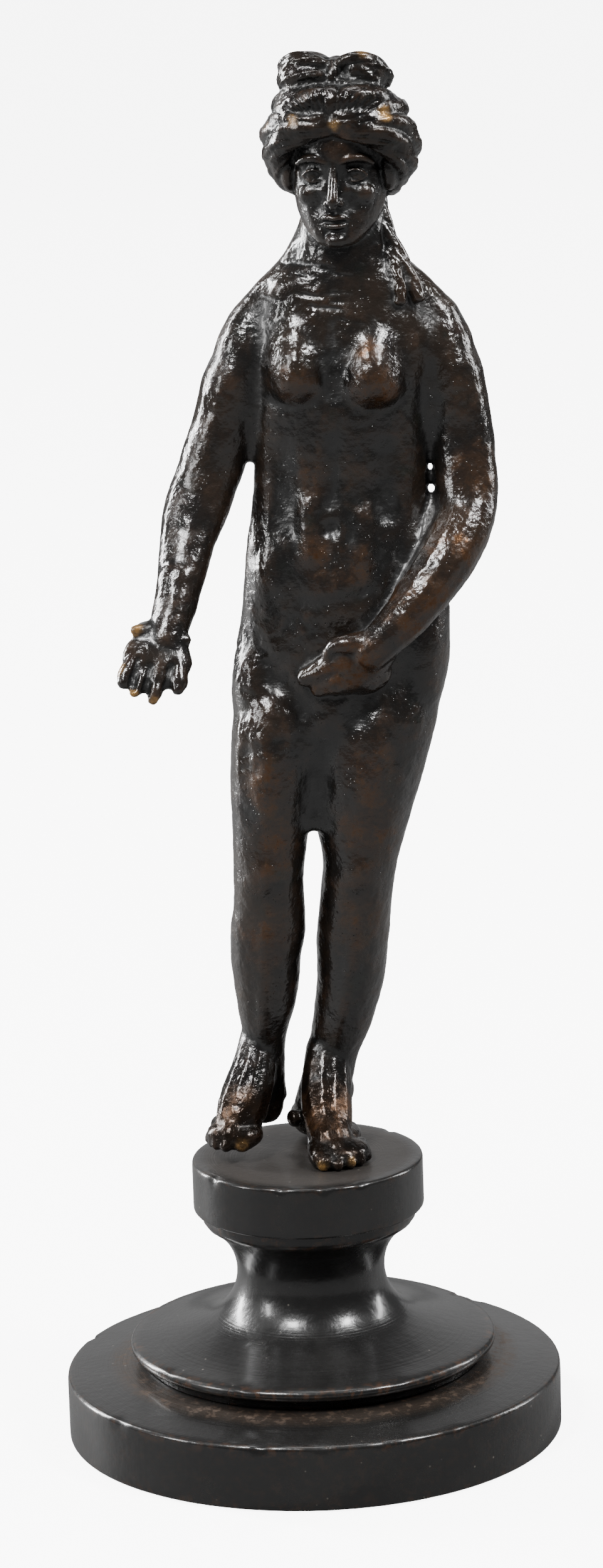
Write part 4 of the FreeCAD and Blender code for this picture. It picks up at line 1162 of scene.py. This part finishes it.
def bumped(tree, shader, layers):   # layers of height, strength and distance in metres
    normal = None
    for height, strength, distance in layers:
        bump = place(tree, "ShaderNodeBump", Strength=strength, Distance=distance)
        tree.links.new(height, bump.inputs["Height"])
        if normal:
            tree.links.new(normal, bump.inputs["Normal"])
        normal = bump.outputs[0]
    tree.links.new(normal, shader.inputs["Normal"])


bronzeFinish = {
    "dark": (0.007, 0.0065, 0.006, 1.0),
    "umber": (0.018, 0.012, 0.008, 1.0),
    "brown": (0.105, 0.050, 0.022, 1.0),
    "green": (0.010, 0.014, 0.010, 1.0),
    "gold": (0.60, 0.34, 0.115, 1.0),
    "coat": 0.25,
    "coatRoughness": 0.14,
    "ior": 1.65,
    "duller": {"feet": 0.62, "hair": 0.34},
}


def makeBronze():
    material, tree, shader, where = newMaterial("patinatedBronze")
    shader.inputs["Coat Roughness"].default_value = bronzeFinish["coatRoughness"]
    shader.inputs["IOR"].default_value = bronzeFinish["ior"]
    cloudy = useGroup(tree, blotch, where, Scale=260.0, Threshold=0.47)
    broad = useGroup(tree, blotch, where, Scale=75.0, Threshold=0.46)
    fine = useGroup(tree, blotch, where, Scale=900.0, Threshold=0.44)
    greenish = useGroup(tree, blotch, where, Scale=190.0, Threshold=0.60)
    pits = useGroup(tree, speckle, where, Scale=1500.0, Size=0.20)
    bigPits = useGroup(tree, speckle, where, Scale=520.0, Size=0.16)
    high, hollow = attribute(tree, "high"), attribute(tree, "hollow")
    brown, bright = attribute(tree, "brown"), attribute(tree, "bright")
    colour = mixed(tree, maths(tree, "MULTIPLY", broad, 0.8), bronzeFinish["dark"], bronzeFinish["umber"])
    rubbed = maths(tree, "ADD", maths(tree, "MULTIPLY", brown, 0.95), maths(tree, "MULTIPLY", high, 0.22))
    rubbed = maths(tree, "MULTIPLY", rubbed, ranged(tree, cloudy, 0.0, 1.0, 0.30, 1.0), clamp=True)
    rubbed = maths(tree, "MULTIPLY", rubbed, ranged(tree, fine, 0.0, 1.0, 0.55, 1.0), clamp=True)
    colour = mixed(tree, rubbed, colour, bronzeFinish["brown"])
    colour = mixed(tree, maths(tree, "MULTIPLY", greenish, 0.45), colour, bronzeFinish["green"])
    worn = maths(tree, "ADD", maths(tree, "MULTIPLY", bright, 1.2), maths(tree, "MULTIPLY", high, 0.25))
    worn = maths(tree, "MULTIPLY", worn, bright)
    worn = maths(tree, "MULTIPLY", worn, ranged(tree, fine, 0.0, 1.0, 0.35, 1.0), clamp=True)
    colour = mixed(tree, worn, colour, bronzeFinish["gold"])
    dirt = maths(tree, "MAXIMUM", maths(tree, "MULTIPLY", hollow, 0.75), maths(tree, "MULTIPLY", pits, 0.6))
    colour = mixed(tree, dirt, colour, (0.006, 0.006, 0.006, 1.0))
    tree.links.new(colour, shader.inputs["Base Color"])
    axes = place(tree, "ShaderNodeSeparateXYZ")
    tree.links.new(where, axes.inputs[0])
    feet = ranged(tree, axes.outputs["Z"], 0.049, 0.062, bronzeFinish["duller"]["feet"], 0.0)
    hair = ranged(tree, axes.outputs["Z"], 0.178, 0.187, 0.0, bronzeFinish["duller"]["hair"])
    dull = maths(tree, "MAXIMUM", feet, hair)   # less shine where hands and polish didn't reach
    metal = maths(tree, "MAXIMUM", maths(tree, "MULTIPLY", rubbed, 0.75), maths(tree, "MAXIMUM", worn, dull))
    tree.links.new(ranged(tree, metal, 0.0, 1.0, 0.10, 1.0), shader.inputs["Metallic"])
    coat = maths(tree, "MULTIPLY", ranged(tree, rubbed, 0.0, 0.8, 1.0, 0.1), bronzeFinish["coat"])
    coat = maths(tree, "MULTIPLY", coat, maths(tree, "SUBTRACT", 1.0, dull))
    tree.links.new(coat, shader.inputs["Coat Weight"])
    dirt = maths(tree, "ADD", dirt, maths(tree, "MULTIPLY", rubbed, 0.28))
    rough = maths(tree, "ADD", ranged(tree, cloudy, 0.0, 1.0, 0.17, 0.27), maths(tree, "MULTIPLY", dirt, 0.3))
    tree.links.new(rough, shader.inputs["Roughness"])
    lines = useGroup(tree, hairlines, where, Stretch=(500.0, 500.0, 5200.0))
    grain = place(tree, "ShaderNodeTexNoise", Scale=1700.0, Detail=2.0, Roughness=0.5)
    tree.links.new(where, grain.inputs["Vector"])
    lumps = place(tree, "ShaderNodeTexNoise", Scale=420.0, Detail=2.0, Roughness=0.5)
    tree.links.new(where, lumps.inputs["Vector"])
    holes = maths(tree, "MULTIPLY", maths(tree, "ADD", pits, bigPits), -1.0)
    bumped(tree, shader, [(lumps.outputs[0], 0.45, 0.0006), (grain.outputs[0], 0.42, 0.00022), (holes, 0.5, 0.00015),
                           (lines, 0.20, 0.00010)])
    return material


body.data.materials.clear()
body.data.materials.append(makeBronze())
print("bronze patinated")


# the turned socle: outlines of radius, height in millimetres; a third pair is an arc's radius and its side

def arcRows(start, end, radius, side, count):
    start, end = Vector((*start, 0)), Vector((*end, 0))
    chord = end - start
    reach = math.sqrt(max(radius ** 2 - (chord.length / 2) ** 2, 0))
    across = Vector((chord.y, -chord.x, 0)).normalized() * side
    centre = (start + end) / 2 - across * reach
    first = math.atan2(start.y - centre.y, start.x - centre.x)
    last = math.atan2(end.y - centre.y, end.x - centre.x)
    sweep = (last - first + math.pi) % (2 * math.pi) - math.pi
    return [(centre.x + radius * math.cos(first + sweep * n / count),
             centre.y + radius * math.sin(first + sweep * n / count)) for n in range(count)]


def outlineRows(corners, fineness):
    rows = []
    for number, corner in enumerate(corners):
        after = corners[(number + 1) % len(corners)]
        length = math.dist(corner[:2], after[:2])
        count = max(1, round(length / fineness))
        if len(corner) == 3:
            rows += arcRows(corner[:2], after[:2], *corner[2], max(count, 5))
        elif number < len(corners) - 1:
            rows += [(corner[0] + (after[0] - corner[0]) * n / count,
                      corner[1] + (after[1] - corner[1]) * n / count) for n in range(count)]
    rows.append(corners[-1][:2])
    return rows


def turned(name, corners, steps, fineness):   # an outline spun about the upright axis
    rows = outlineRows(corners, fineness)
    mesh = bpy.data.meshes.new(name)
    mesh.from_pydata([(radius, 0.0, height) for radius, height in rows],
                     [(n, n + 1) for n in range(len(rows) - 1)], [])
    piece = bpy.data.objects.new(name, mesh)
    bpy.context.scene.collection.objects.link(piece)
    chooseOnly(piece)
    bpy.ops.object.mode_set(mode="EDIT")
    bpy.ops.mesh.select_all(action="SELECT")
    bpy.ops.mesh.spin(steps=steps, angle=2 * math.pi, center=(0, 0, 0), axis=(0, 0, 1))
    bpy.ops.mesh.select_all(action="SELECT")
    bpy.ops.mesh.remove_doubles(threshold=0.002)
    bpy.ops.mesh.normals_make_consistent(inside=False)
    bpy.ops.object.mode_set(mode="OBJECT")
    return piece


def bored(piece, x, y, radius, low, high, sides=48):   # a hole drilled through
    deselectAll()
    bpy.ops.mesh.primitive_cylinder_add(vertices=sides, radius=radius, depth=high - low,
                                        location=(x, y, (low + high) / 2))
    drill = bpy.context.object
    chooseOnly(piece)
    cut = piece.modifiers.new("bore", "BOOLEAN")
    cut.operation = "DIFFERENCE"
    cut.solver = "EXACT"
    cut.object = drill
    bpy.ops.object.modifier_apply(modifier=cut.name)
    bpy.data.objects.remove(drill)


socleSizes = {
    "steps": 200,
    "fineness": 0.9,         # length of one step along an outline
    "unevenScale": 7.0,
    "unevenHeight": 0.05,
    "edgeScale": 0.9,        # crumbs lost from the worn edges
    "edgeHeight": 0.13,
    "rodAt": (1.6, 3.4),
    "pinAt": (4.4, -3.6),
}

discOutline = [(0.0, 37.8), (6.05, 37.8), (6.05, 33.7), (16.3, 33.7, (0.45, 1)), (16.75, 34.15), (16.75, 40.7, (0.6, 1)),
               (16.15, 41.3), (0.0, 41.3)]
stemOutline = [(0.0, 6.2), (8.0, 6.2), (8.0, 11.2), (24.6, 11.2, (2.4, -1)), (26.3, 12.9, (0.95, 1)),
               (25.9, 14.6, (45.7, -1)), (16.0, 17.0, (8.0, -1)), (10.75, 24.5, (7.9, -1)), (15.05, 31.55),
               (15.5, 32.2), (15.5, 33.7), (6.0, 33.7), (6.0, 37.7), (0.0, 37.7)]
plinthOutline = [(0.0, 0.6), (34.2, 0.6), (34.2, 0.2), (35.6, 0.2, (0.4, 1)), (36.0, 0.6), (36.0, 9.0, (0.8, 1)),
                 (35.2, 9.8), (25.2, 11.2), (8.05, 11.2), (8.05, 6.1), (0.0, 6.1)]

# dents along the edges: x, y, z, radius, depth
edgeDents = {
    "discDents": [(-13.6, -9.6, 41.2, 1.5, 0.30), (-4.0, -16.2, 41.2, 1.0, 0.22), (2.2, -16.5, 41.2, 1.4, 0.25),
                  (7.6, -14.8, 41.2, 0.9, 0.20), (12.4, 11.0, 41.2, 1.2, 0.25), (-9.0, 14.0, 41.2, 1.0, 0.22)],
    "stemDents": [(-20.6, -16.2, 14.8, 1.2, 0.22), (-9.4, -24.2, 14.8, 1.4, 0.24), (12.0, -23.2, 14.8, 1.1, 0.20),
                  (21.5, 14.5, 14.8, 1.3, 0.22)],
    "plinthDents": [(-28.0, -22.6, 9.4, 1.4, 0.35), (-8.0, -35.0, 9.4, 1.8, 0.40), (0.6, -35.8, 9.4, 1.4, 0.35),
                    (9.5, -34.6, 9.4, 1.3, 0.30), (19.6, -30.0, 9.4, 1.2, 0.32), (30.6, -18.9, 3.4, 0.7, 0.35),
                    (25.0, 26.0, 9.4, 1.6, 0.35), (-33.0, 14.0, 9.4, 1.5, 0.35), (3.0, 35.8, 9.4, 1.3, 0.30)],
}


def ageWood(piece, dents):   # the wood has moved a little, and its edges have lost crumbs
    markRelief(piece, 3, 0.10, 0.10)
    points = pointsOf(piece)
    flat = np.zeros(len(points), np.float32)
    piece.data.attributes["high"].data.foreach_get("value", flat)
    group = piece.vertex_groups.new(name="edge")
    steps = np.round(flat * 10).astype(int)
    for step in range(1, 11):
        group.add(np.where(steps == step)[0].tolist(), step / 10, "REPLACE")
    for name, scale, height, where in (("warp", socleSizes["unevenScale"], socleSizes["unevenHeight"], ""),
                                       ("crumbs", socleSizes["edgeScale"], socleSizes["edgeHeight"], group.name)):
        pattern = bpy.data.textures.new(name, "CLOUDS")
        pattern.noise_scale = scale
        chooseOnly(piece)
        modifier = piece.modifiers.new(name, "DISPLACE")
        modifier.texture = pattern
        modifier.texture_coords = "LOCAL"
        modifier.strength = -height
        modifier.mid_level = 0.0
        modifier.vertex_group = where
        bpy.ops.object.modifier_apply(modifier=modifier.name)
    piece.vertex_groups.clear()
    clay = Clay(piece)
    for x, y, z, radius, depth in dents:
        clay.stroke([(x, y, z)], radius, -depth)
    clay.refresh()


def finishWood(piece, node, shift=0.0):
    setPoints(piece, pointsOf(piece) / toMm)
    chooseOnly(piece)
    bpy.ops.object.shade_smooth_by_angle(angle=math.radians(38))
    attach(piece, "root")
    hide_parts(node)


def makeDisc():
    piece = turned("socleDisc", discOutline, socleSizes["steps"], 0.6)
    bored(piece, *socleSizes["rodAt"], 1.7, 33.0, 42.0)
    bored(piece, *socleSizes["pinAt"], 0.85, 38.3, 42.0)
    ageWood(piece, edgeDents["discDents"])
    finishWood(piece, "socle_top_disc")
    return piece


def makeStem():
    piece = turned("socleStem", stemOutline, socleSizes["steps"], socleSizes["fineness"])
    bored(piece, *socleSizes["rodAt"], 1.7, 5.0, 39.0)
    ageWood(piece, edgeDents["stemDents"])
    finishWood(piece, "socle_stem")
    return piece


def makePlinth():
    piece = turned("soclePlinth", plinthOutline, socleSizes["steps"], socleSizes["fineness"])
    bored(piece, *socleSizes["rodAt"], 4.8, -1.0, 4.0)
    bored(piece, *socleSizes["rodAt"], 1.7, 3.0, 12.0)
    ageWood(piece, edgeDents["plinthDents"])
    finishWood(piece, "socle_plinth")
    return piece


disc, stem, plinth = makeDisc(), makeStem(), makePlinth()
print("socle turned", sum(len(p.data.polygons) for p in (disc, stem, plinth)), "faces")


woodFinish = {
    "black": (0.0065, 0.0062, 0.0060, 1.0),
    "greyer": (0.0090, 0.0086, 0.0082, 1.0),
    "rubbedBrown": (0.055, 0.026, 0.013, 1.0),
    "dustBrown": (0.060, 0.038, 0.024, 1.0),
    "speckColour": (0.34, 0.31, 0.27, 1.0),
    "coat": 0.35,
    "coatRoughness": 0.13,
    "paintedLitTop": (0.030, 0.026, 0.023, 1.0),   # painted light: the disc's top face round the feet, coloured lighter as if lit from above
    "crevice": (24.0, 27.5, 30.5),   # millimetres from the axis: dust begins, is thickest, ends
}


def makeEbonised():
    material, tree, shader, where = newMaterial("ebonisedWood")
    shader.inputs["Coat Weight"].default_value = woodFinish["coat"]
    shader.inputs["Coat Roughness"].default_value = woodFinish["coatRoughness"]
    parts = place(tree, "ShaderNodeSeparateXYZ")
    tree.links.new(where, parts.inputs[0])
    flat = place(tree, "ShaderNodeCombineXYZ")
    tree.links.new(parts.outputs[0], flat.inputs[0])
    tree.links.new(parts.outputs[1], flat.inputs[1])
    length = place(tree, "ShaderNodeVectorMath", operation="LENGTH")
    tree.links.new(flat.outputs[0], length.inputs[0])
    radius = length.outputs["Value"]
    rings = place(tree, "ShaderNodeCombineXYZ")
    tree.links.new(radius, rings.inputs[0])
    turning = useGroup(tree, hairlines, rings.outputs[0], Stretch=(2600.0, 1.0, 1.0))
    grain = useGroup(tree, hairlines, where, Stretch=(1500.0, 1500.0, 40.0))
    facing = place(tree, "ShaderNodeNewGeometry")
    upright = place(tree, "ShaderNodeSeparateXYZ")
    tree.links.new(facing.outputs["Normal"], upright.inputs[0])
    onTop = ranged(tree, upright.outputs[2], 0.5, 0.95)
    cloudy = useGroup(tree, blotch, where, Scale=90.0, Threshold=0.48)
    fine = useGroup(tree, blotch, where, Scale=800.0, Threshold=0.50)
    specks = useGroup(tree, speckle, where, Scale=420.0, Size=0.085)
    high = attribute(tree, "high")
    colour = mixed(tree, cloudy, woodFinish["black"], woodFinish["greyer"])
    rubbed = maths(tree, "MULTIPLY", maths(tree, "MULTIPLY", high, fine), 0.75, clamp=True)
    colour = mixed(tree, rubbed, colour, woodFinish["rubbedBrown"])
    begins, thickest, ends = (value / toMm for value in woodFinish["crevice"])
    ring = maths(tree, "MULTIPLY", ranged(tree, radius, begins, thickest), ranged(tree, radius, ends, thickest))
    low = ranged(tree, parts.outputs[2], 0.0125, 0.0110)
    dusty = maths(tree, "MULTIPLY", maths(tree, "MULTIPLY", ring, low), onTop)
    dusty = maths(tree, "MULTIPLY", dusty, ranged(tree, fine, 0.0, 1.0, 0.25, 0.75), clamp=True)
    colour = mixed(tree, dusty, colour, woodFinish["dustBrown"])
    # painted light: the disc's top is coloured lighter where it faces up, as if the light falls on it
    upper = maths(tree, "MULTIPLY", ranged(tree, parts.outputs[2], 0.0395, 0.0408), onTop)
    upper = maths(tree, "MULTIPLY", upper, ranged(tree, radius, 0.0164, 0.0140, 0.0, 0.85))
    colour = mixed(tree, upper, colour, woodFinish["paintedLitTop"])
    colour = mixed(tree, specks, colour, woodFinish["speckColour"])
    tree.links.new(colour, shader.inputs["Base Color"])
    rough = maths(tree, "ADD", ranged(tree, cloudy, 0.0, 1.0, 0.25, 0.30), maths(tree, "MULTIPLY", dusty, 0.4))
    rough = maths(tree, "ADD", rough, maths(tree, "ADD", maths(tree, "MULTIPLY", upper, 0.2),
                                            maths(tree, "MULTIPLY", onTop, 0.06)))
    tree.links.new(rough, shader.inputs["Roughness"])
    dull = maths(tree, "MAXIMUM", dusty, upper)
    shine = maths(tree, "SUBTRACT", woodFinish["coat"], maths(tree, "MULTIPLY", dull, 0.3), clamp=True)
    tree.links.new(shine, shader.inputs["Coat Weight"])
    turningHeight = maths(tree, "MULTIPLY", turning, onTop)
    grainHeight = maths(tree, "MULTIPLY", grain, ranged(tree, upright.outputs[2], 0.6, 0.1))
    skin = place(tree, "ShaderNodeTexNoise", Scale=900.0, Detail=3.0)
    tree.links.new(where, skin.inputs["Vector"])
    bumped(tree, shader, [(turningHeight, 0.45, 0.00018), (grainHeight, 0.22, 0.00010),
                           (skin.outputs[0], 0.25, 0.00022)])
    return material


ebonised = makeEbonised()
for piece in (disc, stem, plinth):
    piece.data.materials.clear()
    piece.data.materials.append(ebonised)


# fixings inside, and the baize underneath

fixingFinish = {
    "steel": (0.36, 0.36, 0.37, 1.0),
    "rust": (0.16, 0.065, 0.025, 1.0),
    "brass": (0.62, 0.44, 0.19, 1.0),
    "tarnish": (0.20, 0.13, 0.055, 1.0),
}


def makeOldMetal(name, clean, aged, threshold):
    material, tree, shader, where = newMaterial(name, Metallic=1.0)
    patches = useGroup(tree, blotch, where, Scale=500.0, Threshold=threshold)
    tree.links.new(mixed(tree, patches, clean, aged), shader.inputs["Base Color"])
    tree.links.new(ranged(tree, patches, 0.0, 1.0, 0.28, 0.62), shader.inputs["Roughness"])
    lines = useGroup(tree, hairlines, where, Stretch=(900.0, 900.0, 5000.0))
    bumped(tree, shader, [(lines, 0.25, 0.00008)])
    return material


steel = makeOldMetal("agedSteel", fixingFinish["steel"], fixingFinish["rust"], 0.56)
brass = makeOldMetal("agedBrass", fixingFinish["brass"], fixingFinish["tarnish"], 0.50)


def dressNode(name, material):
    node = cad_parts[name]
    node.data.materials.clear()
    node.data.materials.append(material)


for nodeName in ("threaded_rod", "rod_nut", "rod_washer"):
    dressNode(nodeName, steel)
dressNode("locating_pin", brass)

baizeSizes = {
    "radius": 33.9,
    "thickness": 0.55,
    "edgeRagged": 0.18,
    "napHeight": 0.05,
    "colour": (0.016, 0.080, 0.036, 1.0),
    "faded": (0.050, 0.125, 0.060, 1.0),
}


def makeBaize():   # a disc of wool baize, cut by hand and glued under the plinth
    deselectAll()
    bpy.ops.mesh.primitive_circle_add(vertices=160, radius=baizeSizes["radius"], fill_type="NGON",
                                      location=(0, 0, 0.02))
    piece = bpy.context.object
    piece.name = "baizePad"
    bpy.ops.object.transform_apply(location=True)
    bpy.ops.object.mode_set(mode="EDIT")
    bpy.ops.mesh.select_all(action="SELECT")
    for share in (0.985, 0.93, 0.86, 0.78, 0.68, 0.56, 0.42, 0.26, 0.1):
        bpy.ops.mesh.inset(thickness=0.0, use_even_offset=False)
        bpy.ops.transform.resize(value=(share, share, 1.0), center_override=(0, 0, 0))
    bpy.ops.mesh.select_all(action="SELECT")
    bpy.ops.object.mode_set(mode="OBJECT")
    thick = piece.modifiers.new("thickness", "SOLIDIFY")
    thick.thickness = -baizeSizes["thickness"]
    thick.offset = -1.0
    bpy.ops.object.modifier_apply(modifier=thick.name)
    points = pointsOf(piece)
    around = np.arctan2(points[:, 1], points[:, 0])
    ragged = 0.5 * np.sin(31 * around) + 0.3 * np.sin(53 * around + 1.0) + 0.2 * np.sin(9 * around + 2.0)
    out = np.hypot(points[:, 0], points[:, 1]) / baizeSizes["radius"]
    points[:, :2] *= (1 - baizeSizes["edgeRagged"] / baizeSizes["radius"] * (ragged + 1) * out ** 8)[:, None]
    setPoints(piece, points)
    chooseOnly(piece)
    bpy.ops.object.mode_set(mode="EDIT")
    bpy.ops.mesh.select_all(action="SELECT")
    bpy.ops.mesh.normals_make_consistent(inside=False)
    bpy.ops.object.mode_set(mode="OBJECT")
    setPoints(piece, pointsOf(piece) / toMm)
    bpy.ops.object.shade_smooth_by_angle(angle=math.radians(38))
    material, tree, shader, where = newMaterial("greenBaize", Roughness=0.95)
    patches = useGroup(tree, blotch, where, Scale=60.0, Threshold=0.5)
    nap = useGroup(tree, blotch, where, Scale=2600.0, Threshold=0.46)
    shade = maths(tree, "ADD", maths(tree, "MULTIPLY", patches, 0.5), maths(tree, "MULTIPLY", nap, 0.4), clamp=True)
    tree.links.new(mixed(tree, shade, baizeSizes["colour"], baizeSizes["faded"]), shader.inputs["Base Color"])
    fibres = place(tree, "ShaderNodeTexNoise", Scale=4200.0, Detail=4.0, Roughness=0.8)
    tree.links.new(where, fibres.inputs["Vector"])
    bumped(tree, shader, [(fibres.outputs[0], 0.8, 0.00020)])
    shader.inputs["Sheen Weight"].default_value = 0.4
    piece.data.materials.append(material)
    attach(piece, "root")
    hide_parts("baize_pad")
    return piece


baize = makeBaize()
print("baize and fixings dressed")


def finishFigure(piece):   # to metres, seated on the disc
    points = pointsOf(piece)
    points[:, 2] += soleHeight - figureSizes["modelledSole"]
    setPoints(piece, points / toMm)
    chooseOnly(piece)
    bpy.ops.object.shade_smooth()
    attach(piece, "root")
    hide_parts("bronze_figure")


finishFigure(body)
